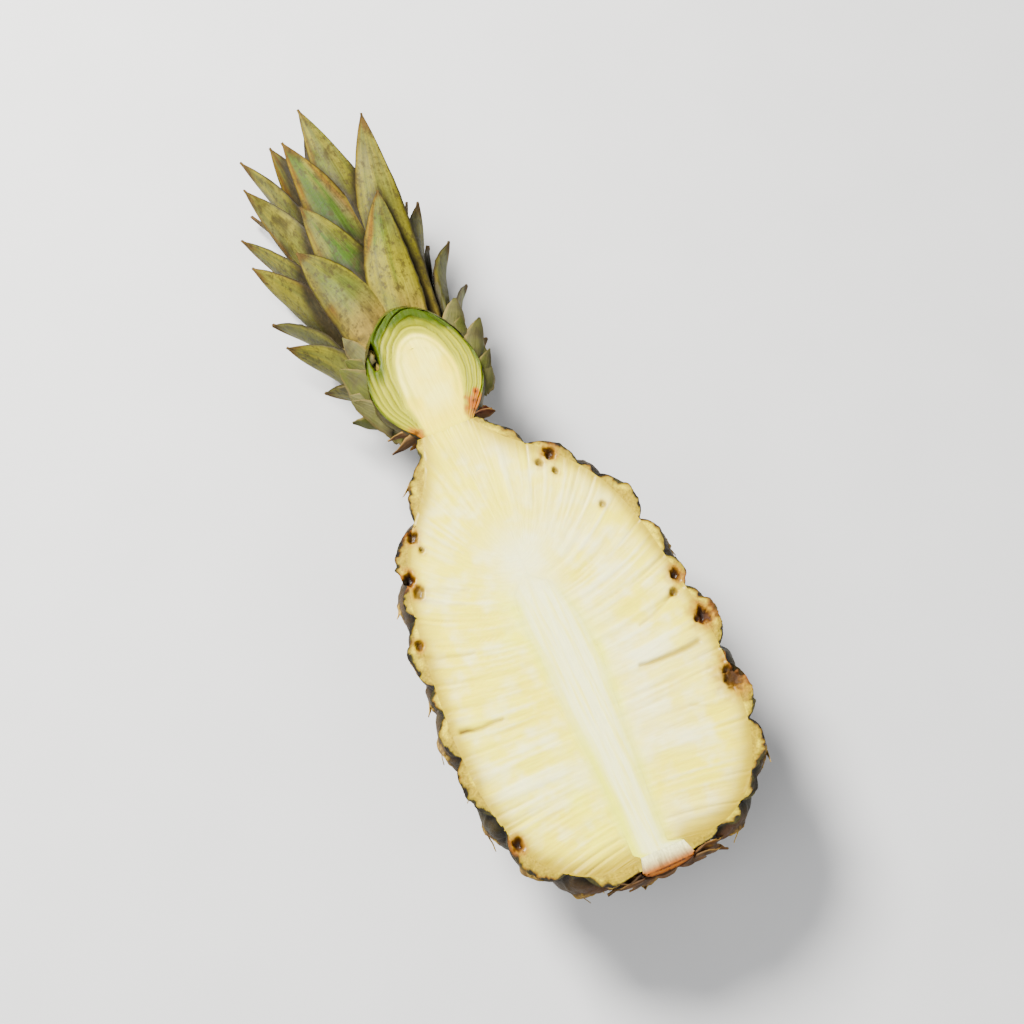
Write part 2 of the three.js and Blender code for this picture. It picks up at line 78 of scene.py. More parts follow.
GOLDEN_ANGLE = pi * (3 - sqrt(5))
EYE_AREA = 560
EYE_TURN_START = 0.9
GROOVE_DEPTH = 2.1
GROOVE_WIDTH = 2.6
DOME_RISE = 1.7
DOME_RADIUS = 13
EYE_TIP_RISE = 1.1
EYE_TIP_RADIUS = 3.2
RELIEF_FADE = 16

# The core, as [distance from the base, sideways offset, radius].
CORE_PATH = [
    [1.6, 1.5, 6.8], [20, 2.5, 7.2], [45, 3.8, 8.6], [62, 4.6, 9.8],
    [80, 5.4, 10.9], [98, 4.6, 10.2], [110, 3.4, 7.6], [117, 2.8, 3.4],
]
CORE_TOP = CORE_PATH[-1][0]
CORE_ROUNDING = 6

SCAR = {"radius": 10.3, "back": -5.2, "front": 1.2, "dish": 1.1, "chamfer": 1, "waist": 8.5}
BASE_BRACT = {"length": 19, "width": 18, "thickness": 0.7, "start": 10.6, "back": -5.3}

CROWN_START = 185.3
CROWN_LEAN = radians(14)
CROWN_YAW = radians(1.5)
STEM_PROFILE = [[-6, 8.6], [0, 9.2], [7, 11.4], [16, 13], [26, 12.6], [34, 10.4], [41, 6.4], [45, 2.6]]
BASES_PROFILE = [
    [-6, 10.2], [0, 11], [7, 17], [14, 21.4], [22, 23.4],
    [31, 22.8], [40, 20.6], [50, 16.6], [58, 11.6], [64, 6],
]
STEM_TOP = STEM_PROFILE[-1][0]
BASES_TOP = BASES_PROFILE[-1][0]
NECK_COLLAR = {"low": 0.8, "high": 4.6}
FLANK_ROWS = [(1, 4), (-1, 2)]  # rows of short leaf ends right and left of the crown's cut
FLANK_COUNT = 8
FLANK_HEIGHT = [5, 42]
LOBE_DEPTH = 1.2

# Leaves. A pair of sizes is for the outermost and the innermost leaf, or for a leaf's root and tip.
LEAF_COUNT = 48
LEAF_TURN_START = 1.88
LEAF_ROOT = [3, 41]
LEAF_LENGTH = [39, 135]
LEAF_SHORTER = 0.22
LEAF_WIDTH = {"first": 23, "widest": 26.3, "last": 24.4}
LEAF_START_ANGLE = [68, 28.4]
LEAF_PACKED_ANGLE = [14, -2]
LEAF_TIP_ANGLE = [59, 16.7]
LEAF_PACKED_AT = 0.3
LEAF_THICKNESS = [2, 1.2]
LEAF_CHANNEL = [22, 17]
LEAF_ROOT_WIDTH = 0.86
LEAF_WIDEST_AT = 0.25
LEAF_TAPER = 3.2
LEAF_POINT_WIDTH = 0.04
LEAF_STEPS = 6
EDGE_THINNING = 0.75
LEAF_CLOSING = 0.2
LEAF_CUT_OFF = -1.5
GROUND_MARGIN = 5
LEAF_DEPTH = 13
# Leaves over the front of the crown, from the outermost inwards. Besides their sizes each has its looks:
# how pinkish its foot is, how pale its middle is, how green it is rubbed, and how brown its left edge is.
FRONT_LEAVES = [
    {"foot": 3, "tip": [16.4, 296.6], "depth": 1.5, "width": 23, "pink": 0.4, "pale": 0.9, "burn": 0.1},
    {"foot": -7, "tip": [-25.1, 282.6], "depth": 1.5, "width": 26, "pink": 0.5, "rub": 0.35, "burn": 0.3},
    {"foot": -3, "tip": [-15.5, 303.6], "depth": 4.2, "width": 27, "rub": 1.0, "burn": 0.6},
    {"foot": 0, "tip": [-10.8, 337.4], "depth": 7, "width": 27, "rub": 0.9, "burn": 1.0},
    {"foot": 8, "tip": [25.3, 337.5], "depth": 7, "width": 24, "pale": 0.6, "burn": 0.2},
    {"foot": 3, "tip": [1.8, 351.8], "depth": 9.8, "width": 27, "pale": 0.7, "burn": 0.7},
]
FRONT_FOOT = {"along": 226, "drop": 2}
FRONT_NUMBER = 60  # the front leaves are numbered from here, past all the others
FRONT_BOW = 3
FRONT_ARCH = 1.6
FRONT_TAPER = 2.4
FRONT_SPACE = 2.6  # other leaves pass at least this far under a front leaf's back
ROOT_DEPTH = 1.3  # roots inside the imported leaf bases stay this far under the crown's cut
SEAT_REACH = 2.9  # the shade that a front leaf casts fades over this distance

STUDIO_LIGHT = 4.3  # light that falls on the cut face
NECK_REACH = 14  # over this length the fruit is drawn out to meet the crown
UNDERSIDE_CLEAR = 0.15  # dry tips under the fruit are pressed flat this far over the ground

# How finely each surface is cut up.
RIND_ROWS = 400
RIND_COLUMNS = 200
RIM_COLUMNS = 9
FLESH_ROWS = 380
FLESH_COLUMNS = 88
END_ROWS = 10
END_COLUMNS = 12
CORE_ROWS = 200
CORE_COLUMNS = 40
SECTION_ROWS = 150
SECTION_COLUMNS = 36
STEM_ROWS = 110
STEM_COLUMNS = 56
LEAF_ROWS = 60
LEAF_OUTER_COLUMNS = 15
LEAF_INNER_COLUMNS = 9

scar_low, scar_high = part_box("stalk_scar")
ORIGIN = np.array([(scar_low.x + scar_high.x) / 2, scar_low.y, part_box("flesh")[1].z]) / MM
ORIGIN -= [AXIS_OFFSET, SCAR["back"], 0]
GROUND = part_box("rind")[0].z / MM - ORIGIN[2]


# Plain helpers.
def mix(a, b, t):
    return a + (b - a) * t


def smooth(t):
    t = np.clip(t, 0, 1)
    return t * t * (3 - 2 * t)


def rise(value, start, over):
    """0 up to the start, then a smooth rise to 1, which it reaches this far over the start."""
    return smooth((value - start) / over)


def fall(value, end, over):
    """1 until it is this far under the end, then a smooth fall to 0 at the end."""
    return smooth((end - value) / over)


def bell(distance, width):
    return np.exp(-((distance / width) ** 2))


def units(v):
    return v / np.maximum(np.linalg.norm(v, axis=-1, keepdims=True), 1e-9)


def srgb(red, green, blue):
    """The surface colour that looks like these 0 to 255 screen values in the studio's light."""
    value = np.array([red, green, blue], float) / 255
    linear = np.where(value <= 0.04045, value / 12.92, ((value + 0.055) / 1.055) ** 2.4)
    top = linear.max()
    pure = np.maximum(top - (top - linear) * (0.94 + 2.3 * top**2.65), 0)
    return np.clip(pure * (1.08 + 8.3 * top**4.5) / STUDIO_LIGHT, 0.0015, 0.95)


def paint(colour, *layers):
    """Each layer, a colour and its share at each point, laid over what is there."""
    for other, share in layers:
        colour = colour + (other - colour) * np.clip(share, 0, 1)[:, None]
    return colour


def hashed(ix, iy, iz, seed):
    """A number from 0 to 1 for each cell of space, without any order in them."""
    n = ix.astype(np.uint64) * np.uint64(73856093)
    n ^= iy.astype(np.uint64) * np.uint64(19349663)
    n ^= iz.astype(np.uint64) * np.uint64(83492791)
    n ^= np.uint64(seed * 40503 + 977)
    n &= np.uint64(0xFFFFFFFF)
    for shift, factor in ((15, 2246822519), (13, 3266489917)):
        n = ((n ^ (n >> np.uint64(shift))) * np.uint64(factor)) & np.uint64(0xFFFFFFFF)
    return ((n ^ (n >> np.uint64(16))) & np.uint64(0xFFFF)).astype(float) / 65535


def noise(seed, x, y, z=0.0):
    """Smooth value noise from -1 to 1."""
    place = np.broadcast_arrays(*(np.asarray(v, float) for v in (x, y, z)))
    corner = [np.floor(v).astype(np.int64) + 100000 for v in place]
    part = [smooth(v - np.floor(v)) for v in place]
    total = np.zeros(place[0].shape)
    for step in np.ndindex(2, 2, 2):
        weight = np.prod([np.abs(1 - i - p) for i, p in zip(step, part)], axis=0)
        total += weight * hashed(*(c + i for i, c in zip(step, corner)), seed)
    return total * 2 - 1


def fractal(seed, octaves, scale, x, y, z=0.0):
    """Noise with finer and fainter noise over it."""
    total = 0.0
    for k in range(octaves):
        total = total + 0.5**k * noise(seed + k, *(np.asarray(v) * scale * 2**k for v in (x, y, z)))
    return total / (2 - 0.5 ** (octaves - 1))


def curve_through(points):
    """A smooth curve through points of any size, read by the first value of each point."""
    table = np.array(points, float)
    key = table[:, 0]
    before = np.maximum(np.arange(len(table)) - 1, 0)
    after = np.minimum(np.arange(len(table)) + 1, len(table) - 1)
    slope = (table[after, 1:] - table[before, 1:]) / (key[after] - key[before])[:, None]

    def read(u):
        u = np.atleast_1d(np.asarray(u, float))
        i = np.clip(np.searchsorted(key, u, side="right") - 1, 0, len(table) - 2)
        span = key[i + 1] - key[i]
        t = np.clip((u - key[i]) / span, 0, 1)[:, None]
        value = (1 + 2 * t) * (1 - t) ** 2 * table[i, 1:] + t * t * (3 - 2 * t) * table[i + 1, 1:]
        return value + span[:, None] * (t * (1 - t) ** 2 * slope[i] - t * t * (1 - t) * slope[i + 1])

    return read


def catmull_rom(points, per_span):
    """A centripetal curve through points, as the part's own."""
    given = [np.array(p, float) for p in points]
    given = [2 * given[0] - given[1], *given, 2 * given[-1] - given[-2]]
    s = np.linspace(0, 1, per_span, endpoint=False)[:, None]
    rows = []
    for a, b, c, d in zip(given, given[1:], given[2:], given[3:]):
        da, db, dc = (max(np.sum((q - p) ** 2), 1e-9) ** 0.25 for p, q in ((a, b), (b, c), (c, d)))
        first = ((b - a) / da - (c - a) / (da + db) + (c - b) / db) * db
        second = ((c - b) / db - (d - b) / (db + dc) + (d - c) / dc) * db
        bend = (3 * c - 3 * b - 2 * first - second) * s**2 + (2 * b - 2 * c + first + second) * s**3
        rows.append(b + first * s + bend)
    rows.append(given[-2][None])
    return np.vstack(rows)


# The fruit's profile, read by its own length.
profile_points = catmull_rom(FRUIT_PROFILE, per_span=60)
profile_step = np.linalg.norm(np.diff(profile_points, axis=0), axis=1)
profile_arc = np.concatenate([[0], np.cumsum(profile_step)])
FRUIT_ARC = profile_arc[-1]
profile_tangent = np.gradient(profile_points, profile_arc, axis=0)
profile_tangent /= np.linalg.norm(profile_tangent, axis=1)[:, None]


def profile_at(s):
    """Distance from the base and radius, and the outward direction along the same two ways."""
    u, r = (np.interp(s, profile_arc, profile_points[:, k]) for k in (0, 1))
    du, dr = (np.interp(s, profile_arc, profile_tangent[:, k]) for k in (0, 1))
    return u, r, -dr, du


def axis_offset(u):
    return AXIS_OFFSET * smooth((FRUIT_LENGTH - u) / OFFSET_FADE)


def place_on_fruit(s, angle, height):
    """Places on the fruit's outside, moved outwards by height."""
    u, r, nu, nr = profile_at(s)
    reach = r + nr * height
    x = axis_offset(u) + reach * np.cos(angle)
    end_u, _, end_nu, _ = profile_at(FRUIT_ARC)
    short = CROWN_START - SEAM - (end_u + end_nu * height)
    y = u + nu * height + short * smooth((s - FRUIT_ARC + NECK_REACH) / NECK_REACH)
    z = np.maximum(-reach * np.sin(angle), GROUND)
    return np.stack([x, y, z], 1)


def inset_outline(s, side, inset):
    """A line on the cut face, this far inside the fruit's outline on its right (1) or left (-1)."""
    return place_on_fruit(s, np.full(len(s), 0.0 if side > 0 else pi), np.full(len(s), -inset))


def eye_places(steps=2000):
    """The eyes' distances along the profile and angles round it, with an even area for each."""
    s = (np.arange(steps) + 0.5) / steps * FRUIT_ARC
    area = np.cumsum(2 * pi * profile_at(s)[1] * FRUIT_ARC / steps)
    count = int(area[-1] / EYE_AREA + 0.5)
    at = np.searchsorted(area, (np.arange(count) + 0.5) * EYE_AREA)
    return s[np.minimum(at, steps - 1)], EYE_TURN_START + np.arange(count) * GOLDEN_ANGLE


EYE_S, EYE_TURN = eye_places()


def nearest_eyes(s, angle, radius, at_once=8000):
    """For each place: its eye, the way to it along and across, and the distances to the nearest two."""
    found = []
    for part in np.array_split(np.arange(len(s)), max(1, len(s) // at_once)):
        along = s[part, None] - EYE_S[None]
        turn = angle[part, None] - EYE_TURN[None]
        across = radius[part, None] * np.arctan2(np.sin(turn), np.cos(turn))
        distance = np.hypot(along, across)
        two = np.argpartition(distance, 1, axis=1)[:, :2]
        pair = np.take_along_axis(distance, two, 1)
        rows = np.arange(len(part))
        eye = two[rows, np.argmin(pair, axis=1)]
        found.append(np.stack([eye, along[rows, eye], across[rows, eye], pair.min(1), pair.max(1)], 1))
    return np.vstack(found).T


# Pieces. A part of a piece is its points, its faces and its values by name.
def grid_faces(rows, columns, closed=False):
    i, j = np.meshgrid(np.arange(rows - 1), np.arange(columns if closed else columns - 1), indexing="ij")
    a = i * columns + j
    b = i * columns + (j + 1) % columns
    return np.stack([a, b, b + columns, a + columns], -1).reshape(-1, 4)


def skin(rows, columns, points, outward):
    """Faces of a grid of points, turned round if they look away from outward, one direction or one each."""
    faces = grid_faces(rows, columns)
    corner = points[faces[:, :3]]
    normal = np.cross(corner[:, 1] - corner[:, 0], corner[:, 2] - corner[:, 0])
    wanted = np.broadcast_to(outward, points.shape)[faces[:, 0]]
    return (faces if np.sum(normal * wanted) > 0 else faces[:, ::-1]).tolist()


def flat_grid(left, right, y, columns):
    """A part of the cut face between a left and a right edge, still without values."""
    share = np.linspace(0, 1, columns)
    x = left[:, None] * (1 - share) + right[:, None] * share
    grid = np.stack([x, np.repeat(y[:, None], columns, 1), np.zeros_like(x)], -1).reshape(-1, 3)
    return grid, skin(len(y), columns, grid, UP), {}


def cut_face(grids, look):
    """A part of the cut face made of grids. The look gives the height and values of its places."""
    points, faces, _ = joined(grids)
    points[:, 2], values = look(*points.T[:2])
    return points, faces, values


def joined(parts):
    """One part made of several."""
    faces = []
    start = 0
    for points, part_faces, _ in parts:
        faces.extend([corner + start for corner in face] for face in part_faces)
        start += len(points)
    values = {key: np.concatenate([part[2][key] for part in parts]) for key in parts[0][2]}
    return np.vstack([part[0] for part in parts]), faces, values


def make_piece(name, part, material, nodes):
    points, faces, values = part
    mesh = bpy.data.meshes.new(name)
    mesh.from_pydata(((points + ORIGIN) * MM).tolist(), [], faces)
    mesh.polygons.foreach_set("use_smooth", np.ones(len(mesh.polygons), bool))
    mesh.materials.append(material)
    for key, value in values.items():
        if value.ndim == 2:
            layer = mesh.attributes.new(key, "FLOAT_COLOR", "POINT")
            full = np.concatenate([np.clip(value, 0, 1), np.ones((len(value), 1))], 1)
            layer.data.foreach_set("color", full.ravel().astype(np.float32))
        else:
            layer = mesh.attributes.new(key, "FLOAT", "POINT")
            layer.data.foreach_set("value", value.astype(np.float32))
    piece = bpy.data.objects.new(name, mesh)
    bpy.context.scene.collection.objects.link(piece)
    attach(piece, BODY)
    if nodes:
        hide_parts(*nodes)
    return piece


def cut_piece(piece, point, normal):
    """Cuts off what lies beyond a plane, in the fruit's frame, and closes the cut."""
    build = bmesh.new()
    build.from_mesh(piece.data)
    place = Vector((np.array(point, float) + ORIGIN) * MM)
    everything = build.verts[:] + build.edges[:] + build.faces[:]
    made = bmesh.ops.bisect_plane(build, geom=everything, plane_co=place, plane_no=normal, clear_outer=True)
    edges = [e for e in made["geom_cut"] if isinstance(e, bmesh.types.BMEdge)]
    if edges:
        bmesh.ops.holes_fill(build, edges=edges, sides=0)
    build.to_mesh(piece.data)
    build.free()


# Materials. Large colour changes are mesh values, and fine grain, gloss and bump are procedural.
class Nodes:
    """A short way to write a material's node tree."""

    def __init__(self, name):
        self.material = bpy.data.materials.new(name)
        self.material.use_nodes = True
        self.tree = self.material.node_tree

    def put(self, node, inputs):
        """Links or sets a node's inputs, by name or number."""
        for key, value in inputs.items():
            if isinstance(value, bpy.types.NodeSocket):
                self.tree.links.new(value, node.inputs[key])
            else:
                node.inputs[key].default_value = value

    def add(self, kind, inputs, output=0, **settings):
        node = self.tree.nodes.new("ShaderNode" + kind)
        for key, value in settings.items():
            setattr(node, key, value)
        self.put(node, inputs)
        return node.outputs[output]

    def value(self, name):
        return self.add("Attribute", {}, "Fac", attribute_name=name)

    def tint(self):
        return self.add("Attribute", {}, "Color", attribute_name="tint")

    def place(self, stretch=(1, 1, 1)):
        """Object coordinates in millimetres, stretched."""
        where = self.add("TexCoord", {}, "Object")
        return self.add("Mapping", {"Vector": where, "Scale": tuple(s / MM for s in stretch)})

    def vector(self, x, y, z):
        return self.add("CombineXYZ", {0: x, 1: y, 2: z})

    def grain(self, vector, scale, detail=4.0, roughness=0.6):
        inputs = {"Vector": vector, "Scale": scale, "Detail": detail, "Roughness": roughness}
        return self.add("TexNoise", inputs, "Fac")

    def ramp(self, value, low, high, to_low, to_high):
        return self.add("MapRange", {0: value, 1: low, 2: high, 3: to_low, 4: to_high}, clamp=True)

    def math(self, operation, a, b):
        return self.add("Math", {0: a, 1: b}, operation=operation)

    def weighed(self, a, a_weight, b, b_weight):
        """Sum of two values, each times its weight."""
        return self.math("ADD", self.math("MULTIPLY", a, a_weight), self.math("MULTIPLY", b, b_weight))

    def where_fresh(self, share, dry):
        return self.math("MULTIPLY", share, self.math("SUBTRACT", 1.0, dry))

    def blended(self, share, a, b, kind="MIX"):
        return self.add("Mix", {0: share, 6: a, 7: b}, 2, data_type="RGBA", blend_type=kind)

    def shaded(self, tint, shade):
        """A tint made darker or lighter by a factor."""
        return self.blended(1.0, tint, self.vector(shade, shade, shade), "MULTIPLY")

    def bump(self, height, strength, distance_mm):
        return self.add("Bump", {"Height": height, "Strength": strength, "Distance": distance_mm * MM})

    def finish(self, **inputs):
        """Fills the shader's inputs, with _ for each blank in a name."""
        named = {key.replace("_", " "): value for key, value in inputs.items()}
        self.put(self.tree.nodes["Principled BSDF"], named)
        return self.material


def tone(red, green, blue):
    return (*[float(c) for c in srgb(red, green, blue)], 1.0)


def flesh_material(name, wet, gloss=0.25):
    """Wet fibres, which run by the values fibre and reach."""
    n = Nodes(name)
    fine = n.grain(n.vector(n.value("fibre"), n.value("reach"), 0.0), 1.0, 5.0, 0.62)
    soft = n.grain(n.place(), 0.22, 3.0, 0.5)
    return n.finish(
        Base_Color=n.shaded(n.tint(), n.ramp(fine, 0.3, 0.7, 0.9, 1.05)),
        Roughness=n.ramp(n.weighed(fine, 0.6, soft, 0.4), 0.35, 0.65, 0.26, 0.5),
        Normal=n.bump(n.weighed(fine, 0.7, soft, 0.3), 0.55, 0.5),
        Subsurface_Weight=0.22,
        Subsurface_Radius=(1.0, 0.75, 0.35),
        Subsurface_Scale=0.0022,
        Coat_Weight=wet,
        Coat_Roughness=0.18,
        IOR=1.38,
        Specular_IOR_Level=gloss,
    )


def rind_material():
    """Waxy skin with a grey bloom, and fibrous where it is dry."""
    n = Nodes("pineapple_rind")
    fine = n.grain(n.place(), 1.1, 6.0, 0.65)
    blotch = n.grain(n.place(), 0.28, 4.0, 0.55)
    dry = n.value("dry")
    tint = n.shaded(n.tint(), n.ramp(fine, 0.3, 0.72, 0.62, 1.35))
    bloom = n.where_fresh(n.ramp(blotch, 0.5, 0.68, 0.0, 0.22), dry)
    tint = n.blended(bloom, tint, tone(118, 108, 62))
    fibres = n.grain(n.vector(n.value("ray"), n.value("out"), 0.0), 1.0, 4.0, 0.6)
    tint = n.blended(dry, tint, n.shaded(tint, n.ramp(fibres, 0.35, 0.65, 0.7, 1.35)))
    height = n.weighed(fine, 0.7, n.math("MULTIPLY", fibres, dry), 1.2)
    rough = n.math("ADD", n.ramp(fine, 0.3, 0.7, 0.46, 0.68), n.math("MULTIPLY", dry, 0.22))
    return n.finish(
        Base_Color=tint, Roughness=rough, Normal=n.bump(height, 0.8, 0.6), Specular_IOR_Level=0.14
    )


def leaf_material(name, gloss):
    """Veined and freckled leaves with a thin bloom, rougher where they are dry."""
    n = Nodes(name)
    veins = n.grain(n.vector(n.value("across"), n.value("along"), n.value("seed")), 1.0, 4.0, 0.6)
    speck = n.grain(n.place(), 0.9, 5.0, 0.62)
    dust = n.grain(n.place(), 0.16, 3.0, 0.5)
    patchy = n.grain(n.place((1, 0.5, 1)), 0.13, 4.0, 0.6)
    freckle = n.grain(n.place((1, 0.6, 1)), 0.42, 6.0, 0.7)
    dry = n.value("dry")
    tint = n.shaded(n.tint(), n.ramp(n.weighed(veins, 0.55, speck, 0.45), 0.36, 0.64, 0.68, 1.24))
    tint = n.shaded(tint, n.ramp(patchy, 0.36, 0.64, 0.78, 1.2))
    tint = n.blended(n.ramp(freckle, 0.5, 0.61, 0.0, 0.72), tint, tone(96, 80, 36))
    bloom = n.where_fresh(n.ramp(dust, 0.46, 0.66, 0.0, 0.05), dry)
    tint = n.blended(bloom, tint, tone(172, 174, 126))
    rough = n.math("ADD", n.ramp(speck, 0.3, 0.7, gloss, gloss + 0.22), n.math("MULTIPLY", dry, 0.28))
    height = n.weighed(veins, 0.8, speck, 0.35)
    return n.finish(
        Base_Color=tint, Roughness=rough, Normal=n.bump(height, 0.5, 0.45), Specular_IOR_Level=0.12
    )


def dry_material(name):
    """Papery fibres."""
    n = Nodes(name)
    fibres = n.grain(n.vector(n.value("across"), n.value("along"), n.value("seed")), 1.0, 5.0, 0.65)
    speck = n.grain(n.place(), 0.8, 4.0, 0.6)
    return n.finish(
        Base_Color=n.shaded(n.tint(), n.ramp(n.weighed(fibres, 0.6, speck, 0.4), 0.32, 0.68, 0.6, 1.3)),
        Roughness=n.ramp(speck, 0.3, 0.7, 0.6, 0.9),
        Normal=n.bump(fibres, 0.7, 0.5),
        Specular_IOR_Level=0.2,
    )


FLESH = flesh_material("pineapple_flesh", 0.08)
CORE = flesh_material("pineapple_core", 0.06)
STEM = flesh_material("crown_stem_flesh", 0.02, 0.12)
LEAF_BASE = flesh_material("packed_leaf_bases", 0.0, 0.1)
RIND = rind_material()
LEAF = leaf_material("crown_leaf", 0.48)
DRY = dry_material("dry_bract")
STALK = dry_material("dry_stalk")


# The rind. Colours are screen values.
GROOVE_DARK = srgb(30, 27, 10)
LOBE_GREEN = srgb(62, 58, 10)
LOBE_BROWN = srgb(106, 76, 30)
LOBE_GREY = srgb(112, 94, 44)
EYE_BEIGE = srgb(190, 160, 120)
EYE_CREAM = srgb(222, 202, 166)
EYE_BROWN = srgb(128, 96, 52)
EYE_ORANGE = srgb(168, 122, 76)
RIDGE_TAN = srgb(142, 118, 78)
BASE_PINK = srgb(174, 129, 102)
SPLIT_BROWN = srgb(58, 36, 14)

STAR_SHIFT = 2.2  # the dry middle of an eye, its star, lies this far towards the base
STAR_RADIUS = 5.4
STREAK_REACH = 12  # brown streaks reach this far out from the star
CREASE_DEPTH = 0.7
FINE_GROOVE = 0.9


def rind_surface(s, angle, x, y, z, radius):
    """Height of the relief, and the values that the rind's material reads."""
    eye, along, across, nearest, second = nearest_eyes(s, angle, radius)
    edge = (second - nearest) / 2
    from_star = along + STAR_SHIFT
    out = np.hypot(from_star, across)
    turn = np.arctan2(from_star, across)
    wobble = noise(11, turn * 1.1, eye * 4.7, out * 0.12) * 0.35

    def three_lines(start, width):
        """How near a place lies to one of three lines that run out from the star."""
        near = np.zeros(len(s))
        for k in range(3):
            away = turn - start - k * 2 * pi / 3 + wobble
            near += bell(out * np.sin(away), width) * (np.cos(away) > 0)
        return near

    own = noise(5, eye * 7.31, eye * 3.17)
    pick = noise(51, eye * 1.37, eye * 2.91)
    rays = noise(21, turn * 3.4, eye * 9.1) * 0.6 + noise(22, turn * 8.0, eye * 9.1) * 0.4
    grit = fractal(31, 4, 0.45, x, y, z)
    lump = fractal(41, 2, 0.14, x, y, z)
    star_edge = STAR_RADIUS * (1 + 0.3 * own + 0.42 * rays)
    star = smooth((star_edge - out + 1.2 * grit) / 2.2)
    beyond = smooth((out - STAR_RADIUS * 0.6) / 3)
    crease = three_lines(pi / 2, 0.9) * beyond
    ridge = three_lines(pi * 5 / 6, 1.0) * beyond
    near_base = fall(s, 30, 24)

    eye_form = DOME_RISE * (1 - (nearest / DOME_RADIUS) ** 2) + EYE_TIP_RISE * bell(nearest, EYE_TIP_RADIUS)
    form = eye_form - GROOVE_DEPTH * bell(edge, GROOVE_WIDTH)
    fine = -FINE_GROOVE * bell(edge, 0.9) - CREASE_DEPTH * crease * (1 - star)
    fine += 0.45 * ridge * smooth(edge / 2) + 0.35 * star * rays + 0.5 * star
    fade = smooth(s / RELIEF_FADE) * smooth((FRUIT_ARC - s) / RELIEF_FADE)
    height = fade * (form + fine + 0.35 * lump) + (0.3 + 0.25 * star) * grit

    halo = smooth(0.25 + 1.5 * rays + 0.5 * grit) * smooth((STREAK_REACH - out) / 5)
    star_tone = paint(
        EYE_BEIGE,
        (EYE_CREAM, smooth(0.1 + 1.3 * rays)),
        (EYE_ORANGE, smooth(-0.15 - 1.5 * rays + 0.5 * own)),
        (SPLIT_BROWN, 0.75 * smooth((-0.45 - rays) * 4)),
    )
    colour = paint(
        LOBE_GREEN,
        (LOBE_BROWN, smooth(0.5 + pick + 0.9 * lump)),
        (LOBE_GREY, 0.35 * smooth(0.2 + 1.6 * noise(61, x * 0.2, y * 0.2, z * 0.2))),
        (EYE_BROWN, 0.75 * halo),
        (SPLIT_BROWN, 0.8 * crease * (1 - star)),
        (RIDGE_TAN, 0.75 * ridge * smooth(edge / 1.5) * fall(out, 13, 6)),
        (BASE_PINK, 0.75 * near_base * smooth(edge / 2.5)),
        (star_tone, star),
        (GROOVE_DARK, 0.95 * bell(edge, 1.5)),
    )
    dry = np.clip(star + 0.5 * near_base, 0, 1)
    return height, {"tint": colour, "dry": dry, "ray": turn * 5.5 + eye * 13, "out": out * 0.35}


def make_rind():
    s, angle = np.linspace(0, FRUIT_ARC, RIND_ROWS), np.linspace(0, pi, RIND_COLUMNS)
    s, angle = (v.ravel() for v in np.meshgrid(s, angle, indexing="ij"))
    u, r, _, _ = profile_at(s)
    x = axis_offset(u) + r * np.cos(angle)
    z = -r * np.sin(angle)
    height, values = rind_surface(s, angle, x, u, z, r)
    points = place_on_fruit(s, angle, height)
    faces = skin(RIND_ROWS, RIND_COLUMNS, points, np.stack([x - axis_offset(u), 0 * u, z], 1))
    columns = points.reshape(RIND_ROWS, RIND_COLUMNS, 3)
    rims = [rim_strip(columns[:, 0], 1), rim_strip(columns[:, -1], -1)]
    make_piece("rind_shell", joined([(points, faces, values), *rims]), RIND, ["rind"])


# What the knife shows. Each pit is [distance from the base, side, depth in from the outline,
# radius, how dark].
PITS = [
    [133.2, -1, 3.2, 2.5, 1.0],
    [127.0, -1, 6.4, 2.2, 0.45],
    [148.4, -1, 4.2, 2.2, 0.7],
    [142.4, -1, 8.2, 1.3, 0.4],
    [107.3, -1, 2.0, 1.7, 0.6],
    [23.7, -1, 3.6, 2.2, 0.9],
    [94.1, 1, 4.3, 2.3, 0.85],
    [75.5, 1, 3.6, 3.2, 1.0],
    [49.8, 1, 3.4, 4.6, 0.75],
    [159.5, 1, 4.4, 2.2, 0.85],
    [157.4, 1, 9.5, 1.6, 0.4],
    [151.7, 1, 9.8, 1.4, 0.35],
    [131.6, 1, 10.5, 1.3, 0.2],
    [88.3, 1, 8.4, 1.5, 0.3],
]
# Each slit is [from, to, half width, how dark, how brown its outer end is], with its ends as
# (sideways, distance from the base).
SLITS = [
    [(27.7, 67.1), (51.5, 66.6), 1.05, 0.85, 0.1],
    [(-43.6, 70.3), (-27.5, 69.0), 0.85, 0.75, 0.9],
    [(-46.6, 102.8), (-26.7, 96.3), 0.55, 0.5, 0.0],
    [(34.4, 81.3), (51.4, 88.3), 0.5, 0.45, 0.5],
    [(38.0, 45.6), (52.6, 40.8), 0.4, 0.3, 0.0],
    [(-40.4, 132.6), (-18.5, 120.1), 0.4, 0.35, 0.0],
    [(-38.2, 125.0), (-22.7, 115.3), 0.4, 0.3, 0.0],
]
# Soft yellow spots in the flesh, and a bright one, as [sideways, distance from the base, radius, strength].
BLOTCHES = [
    [-7.2, 108.4, 5.0, 0.6],
    [-12.7, 95.7, 4.6, 0.55],
    [-14.5, 29.6, 4.4, 0.5],
    [-12.0, 14.0, 9.0, 0.35],
    [22.0, 88.0, 6.0, 0.3],
]
BRIGHT_SPOT = [3.8, 123.4, 11.0, 0.75]

